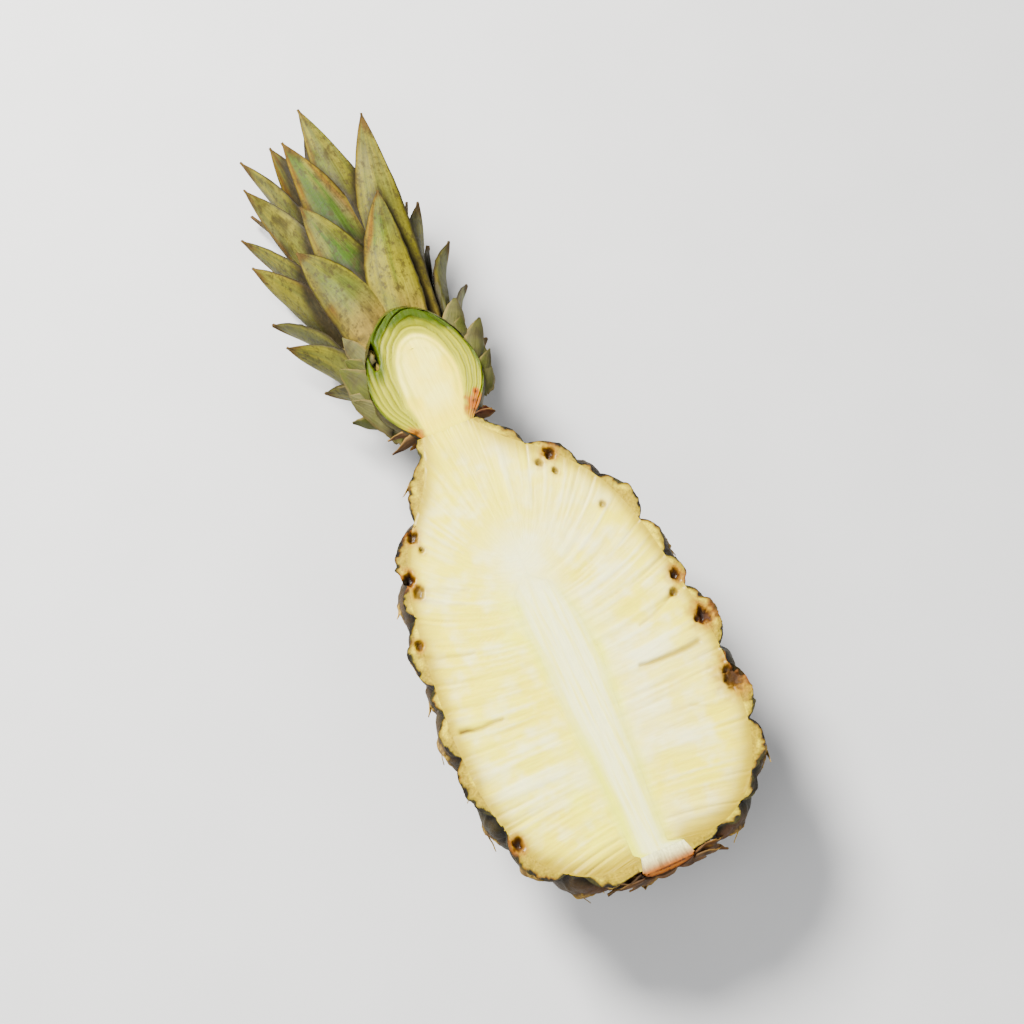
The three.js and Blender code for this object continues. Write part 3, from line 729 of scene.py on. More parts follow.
FLESH_CREAM = srgb(237, 229, 184)
FLESH_LEFT = srgb(238, 230, 190)
FLESH_RIGHT = srgb(237, 230, 198)
FLESH_WHITE = srgb(241, 238, 218)
FLESH_SHADE = srgb(222, 202, 138)
CORE_WHITE = srgb(240, 233, 212)
STRIPE_YELLOW = srgb(243, 233, 96)
RIM_YELLOW = srgb(211, 193, 30)
RIM_PALE = srgb(226, 215, 104)
RIM_OLIVE = srgb(192, 172, 58)
SLIT_OLIVE = srgb(210, 190, 60)
PIT_HALO = srgb(206, 160, 62)
PIT_BROWN = srgb(129, 75, 27)
PIT_DARK = srgb(36, 10, 5)
PEEL_DARK = srgb(40, 32, 10)
PEEL_GREEN = srgb(84, 78, 20)
PEEL_ORANGE = srgb(178, 120, 52)

FIBRE_FOCI = [-25.0, 128.0]  # the fibres fan out from a line between these two places
FIBRE_MIDDLE = 4.0
FIBRE_SPACE = 76  # a step of one fibre number, in millimetres beside that line


def fibre_field(x, y):
    """Lines of the fibres: which fibre a place is on, and how far out along it."""
    centre = (FIBRE_FOCI[0] + FIBRE_FOCI[1]) / 2
    half = (FIBRE_FOCI[1] - FIBRE_FOCI[0]) / 2
    place = np.arccosh(((y - centre) + 1j * (x - FIBRE_MIDDLE)) / half + 1e-9j)
    return place.imag, np.abs(place.real)


def pit_places(steps=1200):
    s = np.linspace(0, FRUIT_ARC, steps)
    found = []
    for u, side, inset, radius, dark in PITS:
        line = inset_outline(s, side, inset)
        best = np.argmin(np.abs(line[:, 1] - u))
        found.append((line[best, 0], line[best, 1], radius, dark))
    return found


def groove_places(steps=900):
    """Where the cut crosses the grooves between eyes, on each side, as fibre numbers."""
    s = np.linspace(RELIEF_FADE, FRUIT_ARC - RELIEF_FADE, steps)
    found = []
    for side, angle in ((1, 0.0), (-1, pi)):
        _, _, _, nearest, second = nearest_eyes(s, np.full(len(s), angle), profile_at(s)[1])
        edge = second - nearest
        low = (edge[1:-1] < edge[:-2]) & (edge[1:-1] <= edge[2:]) & (edge[1:-1] < 3)
        line = inset_outline(s[1:-1][low], side, RIND_THICKNESS)
        found.extend(fibre_field(line[:, 0], line[:, 1])[0])
    return np.array(found)


PIT_PLACES = pit_places()
GROOVE_FIBRES = groove_places()
RIM_STEPS = np.linspace(0, FRUIT_ARC, 1500)
RIM_LINE = np.vstack([inset_outline(RIM_STEPS, side, RIND_THICKNESS) for side in (1, -1)])


def distance_to_rim(x, y):
    tree = kdtree.KDTree(len(RIM_LINE))
    for i, p in enumerate(RIM_LINE):
        tree.insert((p[0], p[1], 0), i)
    tree.balance()
    return np.array([tree.find((*place, 0))[2] for place in zip(x, y)])


def cut_marks(x, y, height, colour):
    """Pits and slits, which lie in the flesh and the rim alike."""
    jag = 0.8 * noise(71, x * 0.55, y * 0.55) + 0.5 * noise(72, x * 1.4, y * 1.4)
    for (ax, ay), (bx, by), half, dark, brown in SLITS:
        way = np.array([bx - ax, by - ay])
        along = np.clip(((x - ax) * way[0] + (y - ay) * way[1]) / np.sum(way**2), 0, 1)
        bow = 0.9 * np.sin(along * pi) + 0.35 * noise(73, along * 6, ax)
        away = np.hypot(x - ax - way[0] * along, y - ay - way[1] * along + bow)
        outer = along if abs(bx) > abs(ax) else 1 - along
        width = half * (0.35 + 0.9 * outer)
        end = brown * bell(away, 0.7 * width) * smooth((outer - 0.55) * 3)
        colour = paint(colour, (SLIT_OLIVE, dark * 0.95 * bell(away, width + 0.35)), (PIT_BROWN, end))
        height = height - 0.8 * dark * bell(away, width + 0.1)
    for px, py, radius, dark in PIT_PLACES:
        away = np.hypot(x - px, (y - py) * 0.85) / radius + 0.34 * jag
        colour = paint(
            colour,
            (PIT_HALO, 0.8 * (0.35 + 0.65 * dark) * fall(away, 2.3, 1.5)),
            (PIT_BROWN, (0.4 + 0.6 * dark) * fall(away, 1.3, 0.6)),
            (PIT_DARK, 0.8 * dark * fall(away, 0.85, 0.6)),
        )
        height = height - (0.9 + 2.0 * dark) * fall(away, 1.15, 0.8)
    return height, colour


def rim_strip(outer, side):
    """The cut edge of the rind: dark skin outside, then its yellow inner tissue."""
    s = np.linspace(0, FRUIT_ARC, RIND_ROWS)
    inner = inset_outline(s, side, RIND_THICKNESS)
    share = np.linspace(0, 1, RIM_COLUMNS)[:, None]
    points = (outer[:, None] * (1 - share) + inner[:, None] * share).reshape(-1, 3)
    across = np.linalg.norm(outer - inner, axis=1)[:, None]
    depth = (across * share.T).ravel()
    left_over = (across - across * share.T).ravel()
    place = np.repeat(s, RIM_COLUMNS)
    x, y = points[:, 0], points[:, 1]
    tooth = 0.5 + 0.5 * noise(81, place * 0.42, side * 3.0)
    peel = 0.5 + 1.7 * tooth**1.6 + 0.5 * noise(82, x * 0.9, y * 0.9)
    peel += fall(y, 26, 20) * (0.5 + 0.5 * noise(83, place * 0.12, side))
    peel = peel * mix(0.3, 1, rise(place, 4, 12))
    orange = smooth((peel + 0.5 - depth) / 0.6) * smooth(0.3 + noise(85, place * 0.15, 0))
    peel_tone = paint(PEEL_DARK, (PEEL_GREEN, smooth(0.2 + 1.5 * noise(86, place * 0.3, depth * 0.6))))
    colour = paint(
        RIM_YELLOW,
        (RIM_PALE, smooth(0.1 + 1.3 * noise(84, place * 0.2, depth * 0.4))),
        (RIM_OLIVE, 0.6 * smooth((peel + 1.6 - depth) / 1.2)),
        (PEEL_ORANGE, 0.75 * orange),
        (peel_tone, smooth((peel - depth) / 0.45)),
    )
    height = 0.16 * noise(87, x * 1.2, y * 1.2) * smooth(depth / 0.5) * smooth(left_over / 0.8)
    height, colour = cut_marks(x, y, height, colour)
    points[:, 2] += height
    values = {"tint": colour, "dry": 0.35 * smooth((peel - depth) / 0.5), "ray": place * 1.3, "out": depth}
    return points, skin(RIND_ROWS, RIM_COLUMNS, points, UP), values


def scar_radius(y):
    reach = SCAR["front"] - SCAR["back"] - SCAR["chamfer"]
    return mix(SCAR["waist"], SCAR["radius"], np.clip((SCAR["front"] - y) / reach, 0, 1))


def core_edges(y):
    """Left and right edge of the core at a distance from the base. Above the core they meet."""
    centre, radius = curve_through(CORE_PATH)(y).T
    end = CORE_TOP + 1
    centre = centre * (1 - smooth((y - end) / (FRUIT_LENGTH - end)))
    radius = radius * np.sqrt(np.clip((end - y) / CORE_ROUNDING, 0, 1))
    scar = scar_radius(y) + 0.15
    flare = smooth((SCAR["front"] + 2.2 - y) / 2.1)
    left = mix(centre - radius, AXIS_OFFSET - scar, flare)
    right = mix(centre + radius, AXIS_OFFSET + scar, flare)
    return left, right


def cut_look(x, y, from_rim):
    """Height of the cut flesh and core, and the values that their material reads."""
    fibre, reach = fibre_field(x, y)
    left, right = core_edges(y)
    middle = (left + right) / 2
    from_core = np.abs(x - middle) - (right - left) / 2
    side = np.sign(x - middle)
    in_core = fall(from_core, 2.6, 6.6) * smooth((CORE_TOP + 4 - y) / 14)
    spread = smooth((np.hypot(x - FIBRE_MIDDLE, y - FIBRE_FOCI[1]) - 5) / 24)
    coarse, strand, thread = (
        noise(seed, fibre * across, reach * along, side * 2) * spread
        for seed, across, along in ((91, 26, 2.2), (92, 62, 3.0), (93, 150, 5.0))
    )
    cloud = fractal(94, 3, 0.045, x, y)
    mottle = fractal(99, 3, 0.2, x, y) + 0.22 * strand
    away = rise(from_core, 2, 10) * spread
    gap = np.abs(fibre[:, None] - GROOVE_FIBRES).min(1) * FIBRE_SPACE * np.cosh(reach)
    wall = bell(gap + 0.5 * np.abs(coarse), 0.75) * fall(from_rim, 26, 22) * smooth(from_core / 4)
    axial = noise(95, x * 0.9, y * 0.05) * 0.6 + noise(96, x * 2.2, y * 0.09) * 0.4
    core_tone = paint(CORE_WHITE, (FLESH_LEFT, 0.7 * smooth(0.25 + 0.9 * axial)))
    right_stripe = bell(x - right - 0.2, 2.9) * fall(y, 114, 16) * (0.7 + 0.3 * noise(97, y * 0.1, 0))
    left_stripe = bell(x - left - 1.0, 2.5) * (0.25 + 0.75 * fall(y, 62, 24)) * fall(y, 114, 12)
    upper_left = bell(x - left + 1.0, 2.4) * rise(y, 70, 14) * fall(y, 116, 12)
    colour = paint(
        FLESH_CREAM,
        (FLESH_LEFT, smooth(0.5 + 1.2 * cloud) * (side < 0)),
        (FLESH_RIGHT, smooth(0.6 + 1.2 * cloud) * (side >= 0)),
        (FLESH_WHITE, 0.62 * smooth(0.35 * coarse + 0.6 * strand + 0.4 * cloud) * away),
        (FLESH_WHITE, 0.55 * smooth(0.75 * mottle + 0.3)),
        (STRIPE_YELLOW, 0.22 * smooth(-0.9 * mottle + 0.1)),
        (FLESH_SHADE, 0.34 * smooth(-0.25 - 0.7 * strand - 0.6 * thread) * away),
        (SLIT_OLIVE, 0.34 * wall),
        (core_tone, in_core),
        (FLESH_CREAM, 0.5 * rise(y, 118, 16) * smooth(0.4 + cloud)),
        (STRIPE_YELLOW, 0.85 * right_stripe + 0.9 * left_stripe + 0.4 * upper_left),
    )
    for bx, by, radius, strength in BLOTCHES:
        spot = np.hypot(x - bx, (y - by) * 0.75) / radius + 0.25 * cloud
        colour = paint(colour, (STRIPE_YELLOW, strength * bell(spot, 0.9)))
    bx, by, radius, strength = BRIGHT_SPOT
    base_side = fall(y, 40, 36)
    width = 2.6 + 2.4 * base_side + 0.9 * noise(98, x * 0.11, y * 0.11) + 0.45 * strand
    colour = paint(
        colour,
        (FLESH_WHITE, strength * bell(np.hypot(x - bx, (y - by) * 0.8), radius)),
        (RIM_PALE, 0.9 * bell(from_rim, width + 2.8)),
        (RIM_YELLOW, (0.75 + 0.2 * base_side) * bell(from_rim, width)),
        (RIM_PALE, 0.35 * rise(y, 160, 22)),
        (FLESH_CREAM, 0.8 * rise(y, 172, 12) * rise(from_rim, 2, 4)),
    )
    height = 0.16 * coarse + 0.12 * strand + 0.08 * thread - 0.5 * wall - 0.25 * right_stripe
    height = height * (1 - 0.75 * in_core) + 0.07 * axial * in_core + 0.22 * cloud
    height, colour = cut_marks(x, y, height * smooth(from_rim / 1.2), colour)
    fibre_lines = mix(fibre * 55, x * 1.1, in_core)
    return height, {"tint": colour, "fibre": fibre_lines, "reach": mix(reach * 9, y * 0.06, in_core)}


def plain_values(colour, fibre, reach):
    return {"tint": np.tile(colour, (len(fibre), 1)), "fibre": fibre, "reach": reach}


BODY_SLACK = 1.8  # the body under the flesh keeps this far inside the rind's deepest grooves
BODY_START = 0.12  # the body under the flesh starts this far round from the cut plane, to clear the pits


def flesh_body(rows=60, columns=40):
    """The closed underside of the flesh, inside the rind."""
    turn = np.linspace(BODY_START, pi - BODY_START, columns)
    s, angle = (v.ravel() for v in np.meshgrid(np.linspace(0, FRUIT_ARC, rows), turn, indexing="ij"))
    points = place_on_fruit(s, angle, np.full(len(s), -RIND_THICKNESS - BODY_SLACK))
    faces = skin(rows, columns, points, points - [AXIS_OFFSET, FRUIT_LENGTH / 2, 0])
    return points, faces, plain_values(RIM_YELLOW, points[:, 0], points[:, 1])


def make_flesh():
    s = np.linspace(0, FRUIT_ARC, FLESH_ROWS)
    left, right = (inset_outline(s, side, RIND_THICKNESS) for side in (-1, 1))
    y = right[:, 1]
    inner_left, inner_right = core_edges(y)
    low = np.linspace(FRUIT_PROFILE[0][0] + 0.02, y[0] + 0.2, END_ROWS)
    scar = scar_radius(low) + SEAM
    rim = np.full(len(low), FRUIT_PROFILE[0][1] + SEAM)
    grids = [
        flat_grid(inner_left, left[:, 0], y, FLESH_COLUMNS),
        flat_grid(inner_right, right[:, 0], y, FLESH_COLUMNS),
        flat_grid(AXIS_OFFSET - rim, AXIS_OFFSET - scar, low, END_COLUMNS),
        flat_grid(AXIS_OFFSET + scar, AXIS_OFFSET + rim, low, END_COLUMNS),
    ]
    face = cut_face(grids, lambda x, y: cut_look(x, y, distance_to_rim(x, y)))
    make_piece("cut_flesh", joined([face, flesh_body()]), FLESH, ["flesh"])


FAR_FROM_RIM = 30.0  # the core is taken to lie this far from the rim, out of reach of its colours


def make_core(row_step=4, columns=13):
    y = np.linspace(SCAR["front"] + SEAM, CORE_TOP + 0.99, CORE_ROWS)
    left, right = core_edges(y)
    face = cut_face([flat_grid(left, right, y, CORE_COLUMNS)], lambda x, y: cut_look(x, y, FAR_FROM_RIM))
    turn = np.linspace(0, pi, columns)
    y, left, right = (v[::row_step, None] for v in (y, left, right))
    radius = (right - left) / 2
    x = (left + right) / 2 + radius * np.cos(turn)
    under = np.stack([x, np.repeat(y, columns, 1), -radius * np.sin(turn)], -1).reshape(-1, 3)
    under_faces = skin(len(y), columns, under, (under - [AXIS_OFFSET, 0, 0]) * [1, 0, 1])
    under_values = plain_values(CORE_WHITE, under[:, 0], under[:, 1] * 0.06)
    part = joined([face, (under, under_faces, under_values)])
    make_piece("fruit_core", part, CORE, ["core"])


# Blades: leaves, bracts and the dry tips on the eyes.
CROWN_AXIS = np.array(
    [
        sin(CROWN_YAW) * cos(CROWN_LEAN),
        cos(CROWN_YAW) * cos(CROWN_LEAN),
        -sin(CROWN_LEAN),
    ]
)
CROWN_SIDE = np.array([cos(CROWN_YAW), -sin(CROWN_YAW), 0.0])
CROWN_FRONT = np.cross(CROWN_SIDE, CROWN_AXIS)
CROWN_ORIGIN = np.array([0.0, FRUIT_LENGTH, 0.0])
stem_radius = curve_through(STEM_PROFILE)
bases_radius = curve_through(BASES_PROFILE)


def radial(angle):
    angle = np.asarray(angle, float)[..., None]
    return CROWN_SIDE * np.cos(angle) + CROWN_FRONT * np.sin(angle)


def crown_point(height, radius, angle):
    height, radius = (np.asarray(v, float)[..., None] for v in (height, radius))
    return CROWN_ORIGIN + CROWN_AXIS * height + radial(angle) * radius


def loft(rings):
    """Points and faces of a closed skin through rings of equal size, with both ends capped."""
    rows, count, _ = rings.shape
    faces = grid_faces(rows, count, closed=True).tolist()
    faces.append(list(range(count))[::-1])
    faces.append([(rows - 1) * count + j for j in range(count)])
    return rings.reshape(-1, 3), faces


def blade_columns(outer, inner):
    """How far across a blade each column lies, from -1 to 1, and 1 for those on its inner side."""
    across = np.concatenate([np.linspace(-1, 1, outer), np.linspace(1, -1, inner)])
    return across, np.repeat([0.0, 1.0], [outer, inner])


def blade(centre, side, outward, half, thickness, channel, columns, edge=1.0):
    """Rings of a channelled blade. A ragged edge scales how far each point reaches."""
    across, under = columns
    channel = channel[:, None]
    bend = half[:, None] * across[None] * edge / channel
    sideways = channel * np.sin(bend)
    depth = under[None] * thickness[:, None] * (1 - EDGE_THINNING * across[None] ** 2)
    inward = channel * (1 - np.cos(bend)) + depth
    return centre[:, None] + side[:, None] * sideways[..., None] - outward[:, None] * inward[..., None]


def front_ends(leaf):
    foot = np.array([leaf["foot"], FRONT_FOOT["along"], -leaf["depth"] - FRONT_FOOT["drop"]], float)
    return foot, np.array([*leaf["tip"], -leaf["depth"]], float)


def front_side(leaf):
    """The sideways direction in which a front leaf bows."""
    foot, tip = front_ends(leaf)
    side = units(np.array([tip[1] - foot[1], foot[0] - tip[0], 0.0]))
    return side * np.sign(leaf["foot"] - leaf["tip"][0])


def leaf_plan():
    """All leaves of the half crown, the front ones first, in the order of the part's nodes."""
    leaves = []
    for i, front in enumerate(FRONT_LEAVES, FRONT_NUMBER):
        foot, tip = front_ends(front)
        leaves.append({**front, "number": i, "order": 0.8, "length": np.linalg.norm(tip - foot)})
    width = LEAF_WIDTH
    for i in range(LEAF_COUNT):
        t = i / (LEAF_COUNT - 1)
        root = mix(*LEAF_ROOT, t)
        angle = LEAF_TURN_START + i * GOLDEN_ANGLE
        shorter = (1 - LEAF_SHORTER * max(0, cos(angle))) * (1 + 0.05 * sin(i * 2.4))
        leaf = {
            "number": i,
            "order": t,
            "root": root,
            "angle": angle,
            "radius": stem_radius(root)[0, 0],
            "length": mix(*LEAF_LENGTH, t**0.9) * shorter,
            "width": mix(mix(width["first"], width["last"], t), width["widest"], sin(pi * t)),
            "start": mix(*LEAF_START_ANGLE, t),
            "packed": mix(*LEAF_PACKED_ANGLE, t**0.7),
            "tip": mix(*LEAF_TIP_ANGLE, t**0.8),
            "twist": 0.1 * sin(i * 1.7),
        }
        if crown_point(root, leaf["radius"], angle)[2] < LEAF_CUT_OFF:
            leaves.append(leaf)
    return leaves


def opening_at(leaf, t):
    """The angle between a leaf and the crown's axis, in degrees."""
    if t < LEAF_PACKED_AT:
        return mix(leaf["start"], leaf["packed"], smooth(t / LEAF_PACKED_AT))
    return mix(leaf["packed"], leaf["tip"], ((t - LEAF_PACKED_AT) / (1 - LEAF_PACKED_AT)) ** 0.9)


def front_path(leaf):
    foot, tip = front_ends(leaf)
    t = np.linspace(0, 1, LEAF_STEPS + 1)[:, None]
    bow = np.sin(pi * t)
    points = foot + (tip - foot) * t + front_side(leaf) * FRONT_BOW * bow + UP * FRONT_ARCH * bow
    return points, np.tile(UP, (LEAF_STEPS + 1, 1))


def leaf_path(leaf):
    """Points along a leaf, and the outward direction at each."""
    step = leaf["length"] / LEAF_STEPS

    def outward_at(t):
        return radial(leaf["angle"] + LEAF_CLOSING * cos(leaf["angle"]) * t + leaf["twist"] * t * t)

    points = [crown_point(leaf["root"], leaf["radius"], leaf["angle"])]
    for i in range(LEAF_STEPS):
        t = (i + 0.5) / LEAF_STEPS
        opening = radians(opening_at(leaf, t))
        point = points[i] + CROWN_AXIS * step * cos(opening) + outward_at(t) * step * sin(opening)
        point[2] = min(max(point[2], min(points[i][2], GROUND + GROUND_MARGIN)), -LEAF_DEPTH)
        points.append(point)
    return np.array(points), np.array([outward_at(i / LEAF_STEPS) for i in range(LEAF_STEPS + 1)])


def leaf_width_share(t, taper):
    low = mix(LEAF_ROOT_WIDTH, 1, t / LEAF_WIDEST_AT)
    high = 1 - np.clip((t - LEAF_WIDEST_AT) / (1 - LEAF_WIDEST_AT), 0, 1) ** taper
    return np.where(t < LEAF_WIDEST_AT, low, np.maximum(LEAF_POINT_WIDTH, high))


def beside_front(leaf, points):
    """How far along and across a front leaf some points lie, and its half width and height there."""
    foot, tip = front_ends(leaf)
    forward = (tip - foot)[:2]
    length = np.linalg.norm(forward)
    from_foot = points[..., :2] - foot[:2]
    t = from_foot @ (forward / length) / length
    inside = np.clip(t, 0, 1)
    bow = np.sin(pi * inside)
    across = from_foot @ front_side(leaf)[:2] - FRONT_BOW * bow
    half = leaf["width"] * leaf_width_share(inside, FRONT_TAPER) / 2
    return t, across, half, mix(foot[2], tip[2], inside) + FRONT_ARCH * bow


def under_front(points, roundness=38):
    """Points of the other leaves, pressed down where they would stand in front of a front leaf."""
    points = points.copy()
    for leaf in FRONT_LEAVES:
        t, across, half, height = beside_front(leaf, points)
        over = smooth((half + 2.5 - np.abs(across)) / 2) * (np.abs(t - 0.5) < 0.5)
        limit = height - FRONT_SPACE - across**2 / roundness
        z = points[..., 2]
        points[..., 2] = np.where(z > limit, mix(z, limit, over), z)
    return points


def seat_shade(points, depth):
    """Painted shadow: where a leaf is dark because a front leaf lies close over it."""
    shade = np.zeros(points.shape[:-1])
    for leaf in FRONT_LEAVES:
        if leaf["depth"] <= depth - 1:
            t, across, half, _ = beside_front(leaf, points)
            away = np.maximum(np.abs(across) - half, 0) + 40 * np.maximum(t - 1, 0)
            shade = np.maximum(shade, bell(away, SEAT_REACH) * (t > 0))
    return shade


LEAF_GREEN = srgb(156, 158, 70)
LEAF_OLIVE = srgb(130, 136, 40)
LEAF_GREY = srgb(160, 152, 96)
LEAF_PALE = srgb(192, 183, 100)
LEAF_PINK = srgb(190, 168, 112)
LEAF_TIP = srgb(150, 112, 60)
# The dark of the leaf edges, which also serves as painted shade and painted shadow lines.
LEAF_EDGE_AND_SHADE_DARK = srgb(54, 40, 16)
LEAF_RUB = srgb(98, 142, 8)
LEAF_ORANGE = srgb(164, 108, 40)
LEAF_MOTTLE = srgb(92, 78, 38)
LEAF_DRY = srgb(160, 132, 84)


def leaf_colour(leaf, t, across, points, under):
    """Colour and dryness: pinkish at the root, green in the blade, brown at the edges and the point, with
    painted shade on the underside and where front leaves lie close over it.
    """
    k = leaf["number"] * 3.71
    x, y, z = points.T
    edge = np.abs(across)
    side = np.sign(across)
    pick = 0.5 + 0.5 * noise(101, k, 1.3)
    cloud = fractal(102 + leaf["number"], 3, 0.06, x, y, z)
    vein = noise(103, across * 7, t * 2.2, k)
    foot = smooth((0.44 - t) / 0.25 + 0.4 * cloud)
    foot += leaf.get("pink", 0) * smooth((0.62 - t) / 0.3 + 0.3 * cloud)
    rub = noise(104, x * 0.11, y * 0.05, z * 0.11 + k)
    patch = bell(t - 0.6, 0.17) * bell(across + 0.05, 0.45) + 0.35 * vein + 0.3 * cloud
    mottle = noise(105, x * 0.35, y * 0.22, z * 0.35 + k)
    spots = smooth((mottle - 0.3) * 4) * smooth((noise(106, x * 0.05, y * 0.05, k) - 0.05) * 4)
    burn = smooth((edge - 0.62 + 0.35 * noise(107, t * 4, k, side)) * 4)
    burn = burn * smooth((noise(108, t * 2.3, k, side * 2) - 0.1) * 3)
    left = smooth((-across - 0.5 + 0.3 * cloud) * 4) * smooth((t - 0.5) * 5) * leaf.get("burn", 0)
    burn = np.maximum(burn, left)
    # The dark margin is partly the leaf's own dark edge and partly a painted shadow line, made wider on the
    # front leaves.
    rim = 0.86 if "foot" in leaf else 0.89
    point = smooth((t - 0.9 + 0.05 * noise(109, across * 2, k)) / 0.07)
    old = fall(leaf["order"], 0.3, 0.25) * smooth(0.1 + pick * 0.4 + cloud)
    colour = paint(
        LEAF_GREEN,
        (LEAF_OLIVE, smooth(0.35 + 1.1 * cloud + 0.4 * vein) * (0.5 + 0.5 * pick)),
        (LEAF_GREY, smooth(0.25 - 1.2 * cloud + 0.3 * vein) * (1 - 0.4 * pick)),
        (LEAF_PALE, 0.6 * rise(t, 0.45, 0.4) * smooth(0.3 + vein)),
        (LEAF_PINK, 0.75 * foot),
        (LEAF_RUB, 0.7 * smooth((rub - 0.45) * 5) * smooth((0.8 - edge) * 3)),
        (LEAF_RUB, leaf.get("rub", 0) * smooth((patch - 0.15) * 3)),
        (LEAF_PALE, leaf.get("pale", 0) * bell(t - 0.48, 0.22) * smooth(0.7 + vein)),
        (LEAF_MOTTLE, 0.65 * spots),
        (LEAF_ORANGE, 0.8 * burn * smooth((t - 0.3) * 4)),
        (LEAF_PALE, 0.4 * bell(edge - 0.84, 0.07) * smooth(t * 3)),
        (LEAF_EDGE_AND_SHADE_DARK, 0.9 * smooth((edge - rim + 0.05 * vein) / 0.07)),
        # Painted shade: the underside is darker towards the root, as seen in the gaps between leaves.
        (LEAF_EDGE_AND_SHADE_DARK, 0.35 * under * smooth((0.95 - t) * 4)),
        (LEAF_TIP, 0.9 * point),
        (LEAF_DRY, 0.7 * old),
        # Painted shadow where a front leaf lies close over this leaf.
        (LEAF_EDGE_AND_SHADE_DARK, 0.95 * seat_shade(points, leaf.get("depth", LEAF_DEPTH))),
    )
    return colour, np.clip(point + burn * 0.7 + 0.6 * old + spots * 0.4, 0, 1)


def read_along(path, t):
    at = np.linspace(0, 1, len(path))
    return np.stack([np.interp(t, at, path[:, k]) for k in range(3)], 1)


def make_leaf(leaf, node):
    front = "foot" in leaf
    path, facing_out = front_path(leaf) if front else leaf_path(leaf)
    t = np.linspace(0, 1, LEAF_ROWS) ** 0.92
    centre = read_along(catmull_rom(path, per_span=16), t)
    along = units(np.gradient(centre, axis=0))
    side = units(np.cross(along, units(read_along(facing_out, t))))
    outward = units(np.cross(side, along))
    half = leaf["width"] * leaf_width_share(t, FRONT_TAPER if front else LEAF_TAPER) / 2
    k = leaf["number"]
    wave = 0.5 * np.sin(t * 9 + k) * smooth(t * 3) * smooth((1 - t) * 4)
    centre = centre + outward * wave[:, None]
    columns = blade_columns(LEAF_OUTER_COLUMNS, LEAF_INNER_COLUMNS)
    rows_t, across = np.meshgrid(t, columns[0], indexing="ij")
    nick = noise(121, rows_t * 30, np.sign(across) * 3, k * 1.7) * 0.03
    nick += noise(122, rows_t * 5, np.sign(across) * 3, k * 1.7) * 0.05
    edge = 1 + nick * np.abs(across) ** 6
    thickness, channel = mix(*LEAF_THICKNESS, t), mix(*LEAF_CHANNEL, t)
    rings = blade(centre, side, outward, half, thickness, channel, columns, edge)
    ripple = 0.55 * noise(123, rows_t * 6, across * 1.2, k * 2.3) * across**2 * smooth(rows_t * 2)
    keel = 0.5 * bell(across, 0.16) * smooth((1 - rows_t) * 2)
    rings = rings + outward[:, None] * (ripple + keel)[..., None]
    points, faces = loft(rings if front else under_front(rings))
    t, across = rows_t.ravel(), across.ravel()
    colour, dry = leaf_colour(leaf, t, across, points, np.tile(columns[1], LEAF_ROWS))
    values = {
        "tint": colour,
        "dry": dry,
        "across": across * leaf["width"] * 0.55,
        "along": t * leaf["length"] * 0.05,
        "seed": np.full(len(t), k * 2.7),
    }
    piece = make_piece("blade_" + node[-2:], (points, faces, values), LEAF, [node])
    cut_piece(piece, (0, 0, 0 if front else -ROOT_DEPTH), UP)
    cut_piece(piece, (0, CROWN_START, 0), TO_BASE)


def make_leaves():
    nodes = sorted(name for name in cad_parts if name.startswith("leaf_") and name[-1].isdigit())
    for leaf, node in zip(leaf_plan(), nodes, strict=True):
        make_leaf(leaf, node)


# The crown's cut stem and packed leaf bases.
NECK_LAP = 0.6  # the crown's cut runs this far under the fruit's, so no gap shows between them
NECK_STEP = 0.12  # it also lies this much lower there
SECTION_REACH = 32  # the edges of the crown's cut are looked for this far sideways and upward
SECTION_HEIGHT = 60
STEM_LAP = 0.7
HEART = {"shift": 1.4, "wide": 11.4, "neck": 8.4, "middle": 22, "tall": 20.5}  # the white middle of the cut
LAYER_COUNT = [5.4, 4.2]  # layers of leaf bases left and right of the heart
LAYER_CLIMB = 0.062
SECTION_GAP = {"place": (-14.6, 226.0), "size": (1.9, 6.4), "tilt": -0.12, "depth": 4}
# Rust stains, as [sideways, distance from the base, radius, strength].
SECTION_STAINS = [
    [14.5, 192.0, 3.6, 0.9],
    [16.6, 195.5, 1.5, 1.0],
    [-12.4, 187.6, 3.4, 0.75],
    [12.6, 188.4, 3.2, 0.7],
]

SECTION_WHITE = srgb(238, 230, 196)
SECTION_CREAM = srgb(235, 226, 160)
SECTION_YELLOW = srgb(201, 201, 20)
SECTION_PALE = srgb(222, 218, 100)
SECTION_GREEN = srgb(104, 134, 4)
SECTION_LINE = srgb(146, 142, 10)
SECTION_DARK = srgb(26, 38, 4)
STAIN_ORANGE = srgb(206, 152, 30)
STAIN_BROWN = srgb(114, 66, 12)


def crown_place(x, y):
    """Height along the crown's axis, distance from it and way beside it, of places on the cut plane."""
    rel = np.stack([x, y - FRUIT_LENGTH, np.zeros_like(x)], -1)
    height = rel @ CROWN_AXIS
    return height, np.sqrt(np.maximum(0, np.sum(rel**2, -1) - height**2)), rel @ CROWN_SIDE


def crown_edges(radius_at, top):
    """Rows of the cut plane that meet a turned body of the crown, and its left and right edge there."""
    x = np.linspace(-SECTION_REACH, SECTION_REACH, 1281)
    y = np.linspace(CROWN_START, CROWN_START + SECTION_HEIGHT, 1500)
    height, across, _ = crown_place(*np.meshgrid(x, y))
    inside = (across < radius_at(height.ravel())[:, 0].reshape(height.shape)) & (height < top)
    met = inside.any(1)
    return y[met], x[np.argmax(inside[met], 1)], x[::-1][np.argmax(inside[met][:, ::-1], 1)]


